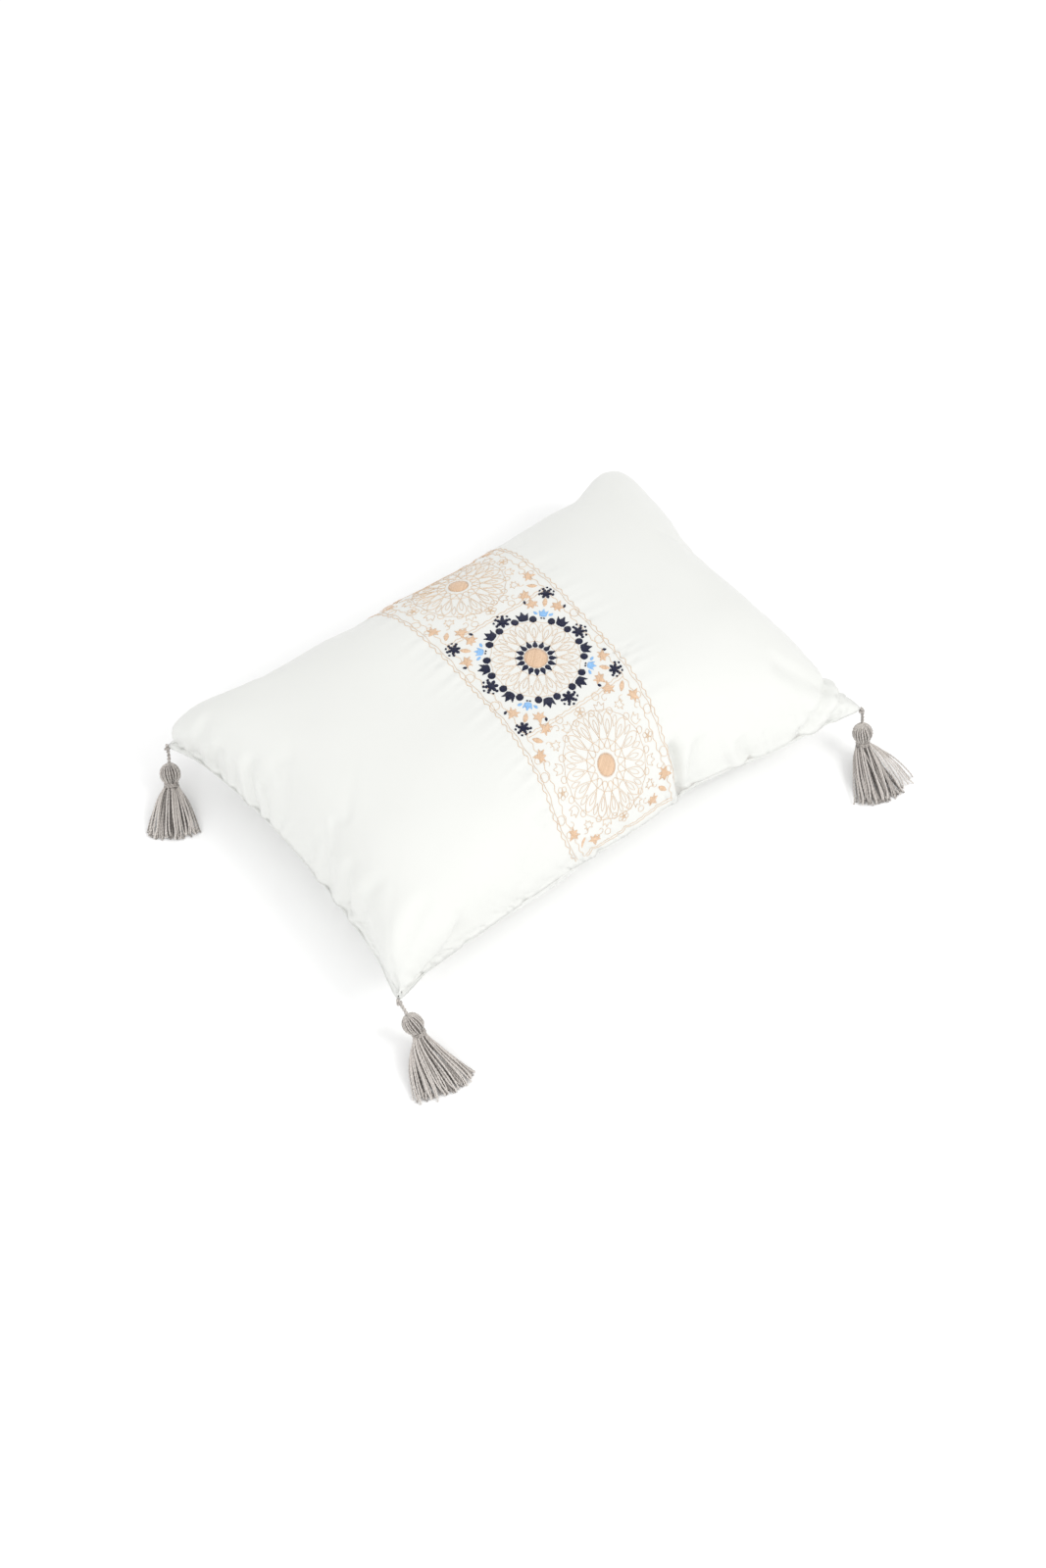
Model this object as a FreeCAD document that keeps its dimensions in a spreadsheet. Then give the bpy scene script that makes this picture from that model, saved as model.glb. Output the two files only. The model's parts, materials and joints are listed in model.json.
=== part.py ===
import FreeCAD, Part
import math
import os
import Sketcher
from FreeCAD import Placement, Rotation, Vector

# A lumbar throw pillow lying on its back panel: two cover panels sewn edge to edge, an
# embroidered band across the front, a filled inner casing, a zip in one long seam and a
# tassel on each corner. The origin is the centre of the flat patch it rests on, +X runs
# along the long sides, +Z up. Millimetres and degrees.

dimensions = [
    ("tipLength", 488, "corner tip to corner tip along X"),
    ("tipWidth", 336, "corner tip to corner tip along Y"),
    ("pillowHeight", 147, "floor to the top of the crown"),
    ("pullShort", 20, "how far a short side pulls in between its corners"),
    ("pullLong", 20, "how far a long side pulls in between its corners"),
    ("seamHeight", 62, "floor to the seam at the middle of a side"),
    ("tipHeightLeft", 40, "floor to the left tip, at -X +Y"),
    ("tipHeightNear", 46, "floor to the near tip, at -X -Y"),
    ("tipHeightRight", 56, "floor to the right tip, at +X -Y"),
    ("tipHeightFar", 54, "floor to the far tip, at +X +Y"),
    ("restLength", 290, "flat patch under the pillow, along X"),
    ("restWidth", 150, "flat patch under the pillow, along Y"),
    ("coverThickness", 0.8, "cover cloth"),
    ("casingThickness", 0.5, "inner casing cloth"),
    ("layerGap", 0.5, "clearance between cover, casing and filling"),
    ("seamGap", 1.6, "between the two cover panels at the seam"),
    ("insertInset", 13, "cover seam to casing seam"),
    ("fillInset", 2, "casing seam to the edge of the filling"),
    ("fillRim", 2, "thickness of the filling at its edge"),
    ("stitchThickness", 1, "sewn seam line between the panels"),
    ("stitchDepth", 2, "width of the sewn seam line"),
    ("stitchInset", 0.6, "panel edge to the sewn seam line"),
    ("bandOffset", 12, "embroidered band's middle line from the pillow's, towards +X"),
    ("bandWidth", 106, "embroidered band between its two borders"),
    ("borderWidth", 5, "wavy border on each side of the band"),
    ("borderGap", 1.2, "between a border and the squares, and between squares"),
    ("squareHalf", 50, "middle square, half its size along Y"),
    ("bandEndMargin", 5, "end of the band to the seam"),
    ("threadLift", 0.4, "cover to the underside of the embroidery"),
    ("threadThickness", 0.5, "embroidery"),
    ("zipLength", 260, "chain of the zip"),
    ("zipLipGap", 7, "between the cover's lips along the zip"),
    ("tapeTail", 8, "tape beyond the chain at each end"),
    ("tapeThickness", 0.5, "zip tape"),
    ("tapeDepth", 8, "tape inwards from the seam"),
    ("tapeGap", 0.3, "tape to the cover panel that it is sewn to"),
    ("coilRadius", 0.9, "one zip coil"),
    ("coilInset", 1.9, "seam line to the axis of a coil"),
    ("coilSplit", 1.4, "between the two coils"),
    ("sliderLength", 9, "slider along X"),
    ("sliderWidth", 5, "slider plates along Z"),
    ("sliderPlate", 1, "thickness of a slider plate"),
    ("sliderClearance", 0.3, "slider to the coils and to the cover's lips"),
    ("bailLength", 2, "slider's bail along X"),
    ("bailDepth", 3.6, "slider's bail outwards from its plate"),
    ("bailHeight", 4, "slider's bail along Z"),
    ("bailHoleRadius", 0.95, "hole that the pull hangs in"),
    ("pullWidth", 6, "pull tab"),
    ("pullLength", 20, "pull tab"),
    ("pullThickness", 0.8, "pull tab"),
    ("pullBar", 0.8, "bar at the top of the pull tab"),
    ("pullSlotWidth", 3, "slot below the bar"),
    ("pullSlotHeight", 4.2, "slot below the bar"),
    ("stopLength", 2, "one zip stop along X"),
    ("stopGap", 0.3, "stop to the slider and to the coil ends"),
    ("tasselCordRadius", 1.25, "twisted hanging cord"),
    ("tasselCordLength", 14, "from the corner to the head"),
    ("tasselGap", 0.4, "corner to cord, cord to head, head to skirt"),
    ("headRadius", 11, "wound ball, across"),
    ("headHalfLength", 12, "wound ball, along its axis"),
    ("neckRadius", 6.5, "binding round the strands"),
    ("neckWall", 1.2, "binding thread build-up"),
    ("neckLength", 5, "binding along the tassel"),
    ("neckGap", 0.3, "binding to the strands inside it"),
    ("neckTail", 3, "strands still bundled below the binding"),
    ("skirtRun", 56, "strands beyond the binding, measured along the floor"),
    ("skirtHalfWidth", 20, "strands' half spread at their ends"),
    ("skirtHalfThickness", 5, "strands' half thickness at their ends"),
    ("skirtLift", 0.4, "floor to the underside of the strands"),
]

# name, side along X, side along Y, height cell, heading of the tassel (degrees from +X
# about +Z) and how steeply its head hangs (degrees below level)
tassels = [
    ("left", -1, 1, "tipHeightLeft", 241, 44),
    ("near", -1, -1, "tipHeightNear", 266, 52),
    ("right", 1, -1, "tipHeightRight", 247, 70),
    ("far", 1, 1, "tipHeightFar", 166, 68),
]

crownPowerLong = 3.0       # higher is flatter along the middle of the pillow
crownPowerShort = 2.2
crownRound = 0.85          # lower is fuller at the edges
zipFlatShare = 0.74        # share of the far side that the zip holds straight
zipFadeShare = 0.9         # by here the cover's lips have closed again
polesLong, polesShort = 25, 17
polesRise = 7              # from the seam to the flat patch
splineDegree = 3
flareStations = (0.0, 0.2, 0.4, 0.7, 1.0)   # sections of a tassel's skirt along its run
halfRingPoles = 7

doc = FreeCAD.newDocument("ThrowPillow")
sheet = doc.addObject("Spreadsheet::Sheet", "Dimensions")
for row, (alias, value, note) in enumerate(dimensions, start=1):
    sheet.set(f"A{row}", alias)
    sheet.set(f"B{row}", str(value))
    sheet.setAlias(f"B{row}", alias)
    sheet.set(f"C{row}", note)
doc.recompute()

nodes = []                 # every object that becomes a file of its own


def size(alias):
    return float(sheet.get(alias))


def cell(formula):
    """Write each dimension's name in a formula as a cell of the sheet."""
    words = []
    for word in formula.split():
        words.append(f"{sheet.Name}.{word}" if word[0].isalpha() else word)
    return " ".join(words)


def node(item, name):
    item.Label = name
    nodes.append(item)
    return item


def shapeNode(name, shape):
    item = doc.addObject("Part::Feature", name)
    item.Shape = shape
    return node(item, name)


def blend(first, second, share):
    return first + (second - first) * share


# ---- form of the pillow: u and v run from -1 to 1 along X and Y ----

def shelf(share, flat):
    """0 up to the flat share, then rising to 1 at the corner."""
    return max(0.0, (share - flat) / (1 - flat)) ** 2


def longRise(u, v):
    """0 in the middle of a long side, 1 at its corners; the far side has the zip."""
    return blend(u * u, shelf(abs(u), zipFlatShare), (1 + v) / 2)


def seamLevel(u, v):
    near = blend(size("tipHeightNear"), size("tipHeightRight"), (1 + u) / 2)
    far = blend(size("tipHeightLeft"), size("tipHeightFar"), (1 + u) / 2)
    corner = blend(near, far, (1 + v) / 2)
    return blend(size("seamHeight"), corner, longRise(u, v) * v * v)


def plan(u, v, inset):
    x = u * (size("tipLength") / 2 - inset - size("pullShort") * (1 - v * v))
    y = v * (size("tipWidth") / 2 - inset - size("pullLong") * (1 - longRise(u, v)))
    return x, y


def lipOpening(u, v):
    """1 where the zip parts the panels, 0 elsewhere."""
    along = 1 - min(1.0, max(0.0, (abs(u) - zipFlatShare) / (zipFadeShare - zipFlatShare)))
    return along * max(0.0, v) ** 4


def crown(u, v):
    body = (1 - abs(u) ** crownPowerLong) * (1 - abs(v) ** crownPowerShort)
    return max(0.0, body) ** crownRound


# A skin is one side of a layer: how far it is inset from the cover's seam, how far it lies
# inside the cover's outer face, and its distance from the seam surface at its own edge.
seamHalf = size("seamGap") / 2
casingRim = size("fillRim") / 2 + size("layerGap")
fillInset = size("insertInset") + size("fillInset")
casingDepth = size("coverThickness") + size("layerGap")
fillDepth = casingDepth + size("casingThickness") + size("layerGap")
coverOuter = {"inset": 0, "depth": 0, "rim": seamHalf + size("coverThickness"), "lips": True}
coverInner = {"inset": 0, "depth": size("coverThickness"), "rim": seamHalf, "lips": True}
casingOuter = {"inset": size("insertInset"), "depth": casingDepth,
               "rim": casingRim + size("casingThickness"), "lips": False}
casingInner = {"inset": size("insertInset"), "depth": casingDepth + size("casingThickness"),
               "rim": casingRim, "lips": False}
fillSkin = {"inset": fillInset, "depth": fillDepth, "rim": size("fillRim") / 2, "lips": False}


def rimAt(skin, u, v):
    lips = (size("zipLipGap") / 2 - seamHalf) * lipOpening(u, v) if skin["lips"] else 0
    return skin["rim"] + lips


def frontPoint(skin, u, v):
    x, y = plan(u, v, skin["inset"])
    rim = rimAt(skin, u, v)
    top = size("pillowHeight") - size("seamHeight") - skin["depth"]
    return Vector(x, y, seamLevel(u, v) + blend(rim, top, crown(u, v)))


def backPoint(skin, u, v, rise):
    """From the seam at rise 0 to the edge of the flat patch at rise 1."""
    edgeX, edgeY = plan(u, v, skin["inset"])
    patchX, patchY = u * size("restLength") / 2, v * size("restWidth") / 2
    lift = seamLevel(u, v) - rimAt(skin, u, v) - skin["depth"]
    height = skin["depth"] + lift * (1 - rise) ** 2
    return Vector(blend(edgeX, patchX, rise), blend(edgeY, patchY, rise), height)


# ---- spline faces and closed solids ----

def knotsFor(count):
    spans = count - splineDegree
    ends = splineDegree + 1
    return [i / spans for i in range(spans + 1)], [ends] + [1] * (spans - 1) + [ends]


def poleShares(count):
    """Where each pole of a clamped spline sits, from 0 to 1."""
    knots, mults = knotsFor(count)
    flat = [k for k, m in zip(knots, mults) for _ in range(m)]
    return [sum(flat[i + 1:i + 1 + splineDegree]) / splineDegree for i in range(count)]


def splineSurface(rows):
    uKnots, uMults = knotsFor(len(rows))
    vKnots, vMults = knotsFor(len(rows[0]))
    surface = Part.BSplineSurface()
    surface.buildFromPolesMultsKnots(rows, uMults, vMults, uKnots, vKnots,
                                     False, False, splineDegree, splineDegree)
    return surface


def splineEdge(points):
    knots, mults = knotsFor(len(points))
    curve = Part.BSplineCurve()
    curve.buildFromPolesMultsKnots(points, mults, knots, False, splineDegree)
    return curve.toShape()


def closedSolid(faces):
    shell = Part.makeShell(faces)
    shell.sewShape()
    solid = Part.makeSolid(shell)
    if solid.Volume < 0:
        solid.reverse()
    return solid


def rimFaces(first, second):
    """Ruled faces that join two lists of edges, pair by pair."""
    return [Part.makeRuledSurface(a, b) for a, b in zip(first, second)]


def frontSurface(skin):
    us = [2 * p - 1 for p in poleShares(polesLong)]
    vs = [2 * p - 1 for p in poleShares(polesShort)]
    return splineSurface([[frontPoint(skin, u, v) for v in vs] for u in us])


def surfaceEdges(surface):
    """The four borders of a surface."""
    u0, u1, v0, v1 = surface.bounds()
    curves = (surface.uIso(u0), surface.uIso(u1), surface.vIso(v0), surface.vIso(v1))
    return [curve.toShape() for curve in curves]


def backFaces(skin):
    """Four faces from the seam down to the flat patch, the patch, and their outer edges."""
    rises = poleShares(polesRise)
    faces, outer, inner = [], [], []
    for axis, side, count in ((0, -1, polesShort), (0, 1, polesShort),
                              (1, -1, polesLong), (1, 1, polesLong)):
        rows = []
        for share in poleShares(count):
            along = 2 * share - 1
            u, v = (side, along) if axis == 0 else (along, side)
            rows.append([backPoint(skin, u, v, rise) for rise in rises])
        surface = splineSurface(rows)
        faces.append(surface.toShape())
        outer.append(surface.vIso(0).toShape())
        inner.append(surface.vIso(1).toShape())
    patch = Part.Face(Part.Wire(Part.__sortEdges__(inner)))
    return faces + [patch], outer


def frontPanel(outerSkin, innerSkin):
    outer, inner = frontSurface(outerSkin), frontSurface(innerSkin)
    rims = rimFaces(surfaceEdges(outer), surfaceEdges(inner))
    return closedSolid([outer.toShape(), inner.toShape()] + rims)


def backPanel(outerSkin, innerSkin):
    outerFaces, outerEdges = backFaces(outerSkin)
    innerFaces, innerEdges = backFaces(innerSkin)
    return closedSolid(outerFaces + innerFaces + rimFaces(outerEdges, innerEdges))


# ---- cover, casing and filling ----

shapeNode("cover_front", frontPanel(coverOuter, coverInner))
shapeNode("cover_back", backPanel(coverOuter, coverInner))
shapeNode("casing_front", frontPanel(casingOuter, casingInner))
shapeNode("casing_back", backPanel(casingOuter, casingInner))

fillFront = frontSurface(fillSkin)
fillBack, fillEdges = backFaces(fillSkin)
shapeNode("insert_fill", closedSolid(
    [fillFront.toShape()] + fillBack + rimFaces(surfaceEdges(fillFront), fillEdges)))


def seamPoint(u, v, inset, level):
    x, y = plan(u, v, inset)
    return Vector(x, y, seamLevel(u, v) + level)


def seamStrip(start, end):
    """A flat strip of sewing between the panels, from one (u, v) on the outline to another."""
    half = size("stitchThickness") / 2
    near, deep = size("stitchInset"), size("stitchInset") + size("stitchDepth")
    corners = ((near, half), (deep, half), (deep, -half), (near, -half))
    edges = []
    for inset, level in corners:
        points = []
        for share in poleShares(polesLong):
            u, v = blend(start[0], end[0], share), blend(start[1], end[1], share)
            points.append(seamPoint(u, v, inset, level))
        edges.append(splineEdge(points))
    sides = [Part.makeRuledSurface(edges[i], edges[(i + 1) % 4]) for i in range(4)]
    caps = []
    for which in (0, -1):
        ring = [edge.Vertexes[which].Point for edge in edges]
        caps.append(Part.Face(Part.makePolygon(ring + [ring[0]])))
    return closedSolid(sides + caps)


seamEnd = 0.96             # a strip stops short of the corner, where it meets the next one
zipGate = zipFadeShare - 0.02
seamRuns = [
    ((-seamEnd, -1), (seamEnd, -1)),
    ((-1, -seamEnd), (-1, seamEnd)),
    ((1, -seamEnd), (1, seamEnd)),
    ((-seamEnd, 1), (-zipGate, 1)),
    ((zipGate, 1), (seamEnd, 1)),
]
shapeNode("seam_stitching", Part.makeCompound([seamStrip(a, b) for a, b in seamRuns]))


# ---- embroidery: pieces of the cover's own front face, raised by the thread ----

coverFace = frontSurface(coverOuter)
centreX = size("bandOffset")
bandHalf = size("bandWidth") / 2
gap = size("borderGap")
uScale = size("tipLength") / 2 - size("pullShort")
vScale = size("tipWidth") / 2 - size("pullLong")


def threadPatch(name, xRange, yRange):
    """A thin solid on the cover between two distances along X and two along Y."""
    u0, u1 = [(x / uScale + 1) / 2 for x in xRange]
    v0, v1 = [(y / vScale + 1) / 2 for y in yRange]
    skins = []
    for lift in (size("threadLift"), size("threadLift") + size("threadThickness")):
        skin = coverFace.copy()
        skin.segment(u0, u1, v0, v1)
        skin.translate(Vector(0, 0, lift))
        skins.append(skin)
    rims = rimFaces(surfaceEdges(skins[0]), surfaceEdges(skins[1]))
    shapeNode(name, closedSolid([skins[0].toShape(), skins[1].toShape()] + rims))


inSquare = (centreX - bandHalf, centreX + bandHalf)
endY = vScale - size("bandEndMargin")
threadPatch("embroidery_centre", inSquare, (-size("squareHalf"), size("squareHalf")))
threadPatch("embroidery_near_end", inSquare, (-endY, -size("squareHalf") - gap))
threadPatch("embroidery_far_end", inSquare, (size("squareHalf") + gap, endY))
for side, label in ((-1, "left"), (1, "right")):
    inner = centreX + side * (bandHalf + gap)
    reach = sorted((inner, inner + side * size("borderWidth")))
    threadPatch(f"embroidery_border_{label}", reach, (-endY, endY))


# ---- the zip, straight along X in the far long seam ----

seamY = "( tipWidth / 2 - pullLong )"
plateHalf = "( sliderWidth / 2 )"
closedX = "( zipLength / 2 - sliderLength )"     # slider's near end when the zip is closed


def bind(item, **formulas):
    for name, formula in formulas.items():
        item.setExpression(name.replace("_", "."), cell(formula))
    return item


def box(name, corner, extent):
    """A box from its low corner and its lengths, all as formulas."""
    item = doc.addObject("Part::Box", name)
    bind(item, Length=extent[0], Width=extent[1], Height=extent[2])
    for axis, formula in zip("xyz", corner):
        item.setExpression(f".Placement.Base.{axis}", cell(formula))
    return item


def outline(sketch, corners):
    """Closed polygon; each corner is a pair of formulas measured from the sketch's origin."""
    count = len(corners)
    for index in range(count):
        start, end = Vector(index, index * index, 0), Vector(index + 1, index - 3, 0)
        sketch.addGeometry(Part.LineSegment(start, end), False)
    first = sketch.GeometryCount - count
    for index in range(count):
        following = first + (index + 1) % count
        sketch.addConstraint(Sketcher.Constraint("Coincident", first + index, 2, following, 1))
    for index, pair in enumerate(corners):
        for kind, formula in zip(("DistanceX", "DistanceY"), pair):
            place = sketch.addConstraint(
                Sketcher.Constraint(kind, -1, 1, first + index, 1, 1.0))
            sketch.setExpression(f"Constraints[{place}]", cell(formula))


def bodyWithPad(name, plane, outlines, length, midplane=True):
    """A body with one pad of one or more outlines drawn on one of its origin planes."""
    body = doc.addObject("PartDesign::Body", name)
    sketch = body.newObject("Sketcher::SketchObject", f"{name}_outline")
    origin = [f for f in body.Origin.OriginFeatures if f.Role == plane][0]
    sketch.AttachmentSupport = [(origin, "")]
    sketch.MapMode = "FlatFace"
    for corners in outlines:
        outline(sketch, corners)
    pad = body.newObject("PartDesign::Pad", f"{name}_pad")
    pad.Profile = sketch
    pad.SideType = "Symmetric" if midplane else "One side"
    pad.setExpression("Length", cell(length))
    return body


# slope of the panel behind the lip, which the tapes lie along
lipPoint = frontPoint(coverInner, 0, 1)
behindLip = coverFace.value(0.5, 1 - size("tapeDepth") / 2 / vScale)
lipRise = (behindLip.z - size("coverThickness") - lipPoint.z) / (lipPoint.y - behindLip.y)
tapeSlope = round(lipRise, 2)

for side, label in ((1, "upper"), (-1, "lower")):
    sign = "" if side > 0 else "-1 * "
    lift = "( zipLipGap / 2 - tapeGap - tapeThickness )"
    bend = "( coilInset + coilRadius )"
    reach = f"( tapeDepth - {bend} ) * {tapeSlope}"
    levels = (lift, "( zipLipGap / 2 - tapeGap )",
              f"( zipLipGap / 2 - tapeGap + {reach} )", f"( {lift} + {reach} )")
    insets = ("( coilInset - coilRadius )", "( coilInset - coilRadius )", "tapeDepth", "tapeDepth")
    corners = [(f"{seamY} - {inset}", f"seamHeight + {sign}{level}")
               for inset, level in zip(insets, levels)]
    corners.insert(2, (f"{seamY} - {bend}", f"seamHeight + {sign}( zipLipGap / 2 - tapeGap )"))
    corners.append((f"{seamY} - {bend}", f"seamHeight + {sign}{lift}"))
    tape = bodyWithPad(f"zipper_tape_{label}", "YZ_Plane", [corners], "zipLength + 2 * tapeTail")
    node(tape, f"zipper_tape_{label}")

    coil = doc.addObject("Part::Cylinder", f"zipper_coil_{label}")
    bind(coil, Radius="coilRadius", Height="zipLength")
    coil.Placement = Placement(Vector(), Rotation(Vector(0, 1, 0), 90))
    coil.setExpression(".Placement.Base.x", cell("-1 * zipLength / 2"))
    coil.setExpression(".Placement.Base.y", cell(f"{seamY} - coilInset"))
    coil.setExpression(".Placement.Base.z", cell(
        f"seamHeight + {sign}( coilSplit / 2 + coilRadius )"))
    node(coil, f"zipper_coil_{label}")

# slider: a plate outside the lips, a plate behind the coils, the bridge between them that
# parts the coils, and the bail that carries the pull
outerPlateY = f"( {seamY} + sliderClearance )"
innerPlateY = f"( {seamY} - coilInset - coilRadius - sliderClearance - sliderPlate )"
plateLow = f"seamHeight - {plateHalf}"
bridgeHalf = "( coilSplit / 2 - sliderClearance )"
bailX = f"( {closedX} + ( sliderLength - bailLength ) / 2 )"
bailY = f"( {outerPlateY} + sliderPlate )"
outerPlate = box("slider_outer_plate", (closedX, outerPlateY, plateLow),
                 ("sliderLength", "sliderPlate", "sliderWidth"))
innerPlate = box("slider_inner_plate", (closedX, innerPlateY, plateLow),
                 ("sliderLength", "sliderPlate", "sliderWidth"))
bridge = box("slider_bridge",
             (f"{closedX} + sliderLength / 3", innerPlateY, f"seamHeight - {bridgeHalf}"),
             ("sliderLength / 3", f"{outerPlateY} - {innerPlateY} + sliderPlate / 2",
              f"2 * {bridgeHalf}"))
bail = box("slider_bail", (bailX, f"{bailY} - sliderPlate / 2", "seamHeight - bailHeight / 2"),
           ("bailLength", "bailDepth + sliderPlate / 2", "bailHeight"))
sliderBlock = doc.addObject("Part::MultiFuse", "slider_block")
sliderBlock.Shapes = [outerPlate, innerPlate, bridge, bail]
bailHole = doc.addObject("Part::Cylinder", "slider_bail_hole")
bind(bailHole, Radius="bailHoleRadius", Height="bailLength * 2")
bailHole.Placement = Placement(Vector(), Rotation(Vector(0, 1, 0), 90))
pivotY = f"( {bailY} + bailDepth / 2 )"
bailHole.setExpression(".Placement.Base.x", cell(f"{bailX} - bailLength / 2"))
bailHole.setExpression(".Placement.Base.y", cell(pivotY))
bailHole.setExpression(".Placement.Base.z", cell("seamHeight"))
slider = doc.addObject("Part::Cut", "zipper_slider")
slider.Base, slider.Tool = sliderBlock, bailHole
node(slider, "zipper_slider")

# pull tab: a plate with a slot, hung by the bar above the slot
pullMid = f"( {bailX} + bailLength / 2 )"


def rectangle(midX, width, low, high):
    left, right = f"{midX} - {width} / 2", f"{midX} + {width} / 2"
    return [(left, low), (right, low), (right, high), (left, high)]


barTop = "( seamHeight + pullBar / 2 )"
slotTop = "( seamHeight - pullBar / 2 )"
pull = bodyWithPad("zipper_pull", "XZ_Plane", [
    rectangle(pullMid, "pullWidth", f"{barTop} - pullLength", barTop),
    rectangle(pullMid, "pullSlotWidth", f"{slotTop} - pullSlotHeight", slotTop),
], "pullThickness")
pull.setExpression(".Placement.Base.y", cell(pivotY))
node(pull, "zipper_pull")

# stops: a small block on each coil past the closed slider, one bar across both at the
# other end
stopY = f"{seamY} - coilInset - coilRadius"
stopDepth = "2 * coilRadius"
topX = "zipLength / 2 + stopGap"
endX = "-1 * zipLength / 2 - stopGap - stopLength"
coilOuter = "( coilSplit / 2 + 2 * coilRadius )"
stopBlocks = [
    box("stop_upper", (topX, stopY, "seamHeight + coilSplit / 2"),
        ("stopLength", stopDepth, "2 * coilRadius")),
    box("stop_lower", (topX, stopY, f"seamHeight - {coilOuter}"),
        ("stopLength", stopDepth, "2 * coilRadius")),
    box("stop_end", (endX, stopY, f"seamHeight - {coilOuter}"),
        ("stopLength", stopDepth, f"2 * {coilOuter}")),
]
stops = doc.addObject("Part::Compound", "zipper_stops")
stops.Links = stopBlocks
node(stops, "zipper_stops")


# ---- tassels ----

def alongTassel(tip, heading, dip, distance):
    """A point on the straight line of cord, head and binding."""
    forward = Vector(math.cos(math.radians(heading)), math.sin(math.radians(heading)), 0)
    return tip + forward * (distance * math.cos(math.radians(dip))) + Vector(
        0, 0, -distance * math.sin(math.radians(dip)))


def aimed(heading, dip):
    """Turns +Z to point down a tassel, keeping local X level."""
    return (Rotation(Vector(0, 0, 1), heading) * Rotation(Vector(0, 1, 0), 90 + dip)
            * Rotation(Vector(0, 0, 1), 90))


def skirtStation(neckEnd, heading, dip, share):
    """Middle and dip of the skirt at a share of its run, easing down on to the floor."""
    forward = Vector(math.cos(math.radians(heading)), math.sin(math.radians(heading)), 0)
    floorZ = size("skirtHalfThickness") + size("skirtLift")
    drop = neckEnd.z - floorZ
    ease = (1 - share) ** 2
    middle = neckEnd + forward * (size("skirtRun") * share)
    middle.z = floorZ + drop * ease
    return middle, dip * (1 - share) ** 2


def halfRing(middle, turn, halfWidth, halfThickness, side):
    """Poles of the upper (side 1) or lower (side -1) half of one section of a skirt."""
    points = []
    for share in poleShares(halfRingPoles):
        angle = math.pi * share
        local = Vector(halfWidth * math.cos(angle), side * halfThickness * math.sin(angle), 0)
        points.append(middle + turn.multVec(local))
    return points


def skirtSolid(sections, heading):
    """The bundle of strands: round inside the binding, spread wide and thin at its end."""
    top = size("neckRadius") - size("neckWall") - size("neckGap")
    halves = []
    for side in (1, -1):
        rows = []
        for middle, tilt, share in sections:
            rows.append(halfRing(middle, aimed(heading, tilt),
                                 blend(top, size("skirtHalfWidth"), share),
                                 blend(top, size("skirtHalfThickness"), share), side))
        halves.append(splineSurface(rows))
    caps = []
    for end in (0, 1):
        edges = [surface.uIso(end).toShape() for surface in halves]
        caps.append(Part.Face(Part.Wire(Part.__sortEdges__(edges))))
    return closedSolid([surface.toShape() for surface in halves] + caps)


def makeTassel(name, sideX, sideY, heightCell, heading, dip):
    gapSize, cordLength = size("tasselGap"), size("tasselCordLength")
    besideCorner = size("tasselCordRadius")
    tip = Vector(sideX * (size("tipLength") / 2 + besideCorner),
                 sideY * (size("tipWidth") / 2 + besideCorner), size(heightCell))
    turn = aimed(heading, dip)
    headStart = gapSize + cordLength + gapSize
    headEnd = headStart + 2 * size("headHalfLength")
    neckStart = headEnd + gapSize
    neckStop = neckStart + size("neckLength")

    cord = doc.addObject("Part::Cylinder", f"tassel_{name}_cord")
    bind(cord, Radius="tasselCordRadius", Height="tasselCordLength")
    cord.Placement = Placement(alongTassel(tip, heading, dip, gapSize), turn)
    node(cord, f"tassel_{name}_cord")

    head = doc.addObject("Part::Ellipsoid", f"tassel_{name}_head")
    bind(head, Radius1="headHalfLength", Radius2="headRadius", Radius3="headRadius")
    head.Placement = Placement(
        alongTassel(tip, heading, dip, headStart + size("headHalfLength")), turn)
    node(head, f"tassel_{name}_head")

    neckPlace = Placement(alongTassel(tip, heading, dip, neckStart), turn)
    winding = doc.addObject("Part::Cylinder", f"tassel_{name}_winding")
    bind(winding, Radius="neckRadius", Height="neckLength")
    hollow = doc.addObject("Part::Cylinder", f"tassel_{name}_hollow")
    bind(hollow, Radius="neckRadius - neckWall", Height="neckLength")
    winding.Placement = hollow.Placement = neckPlace
    neck = doc.addObject("Part::Cut", f"tassel_{name}_neck")
    neck.Base, neck.Tool = winding, hollow
    node(neck, f"tassel_{name}_neck")

    neckEnd = alongTassel(tip, heading, dip, neckStop + size("neckTail"))
    sections = []
    for along in (neckStart, blend(neckStart, neckStop, 0.5), neckStop):
        sections.append((alongTassel(tip, heading, dip, along), dip, 0.0))
    for share in flareStations:
        middle, tilt = skirtStation(neckEnd, heading, dip, share)
        sections.append((middle, tilt, share))
    shapeNode(f"tassel_{name}_skirt", skirtSolid(sections, heading))


for name, sideX, sideY, heightCell, heading, dip in tassels:
    makeTassel(name, sideX, sideY, heightCell, heading, dip)


# ---- check every object, then write one file for each node ----

doc.recompute()
for item in doc.Objects:
    if {"Invalid", "Error"} & set(item.State):
        raise RuntimeError(f"{item.Label} did not build: {item.State}")
for item in nodes:
    shape = item.Shape
    if shape.isNull() or not shape.isValid() or shape.Volume <= 0:
        raise RuntimeError(f"{item.Label} has no sound solid")

os.makedirs("parts", exist_ok=True)
for item in nodes:
    item.Shape.exportStep(os.path.join("parts", item.Label + ".step"))
    box = item.Shape.BoundBox
    print(f"{item.Label:26s} solids {len(item.Shape.Solids)} volume {item.Shape.Volume:11.1f}"
          f"  z {box.ZMin:7.2f} {box.ZMax:7.2f}")
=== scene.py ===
import json
import math

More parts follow.
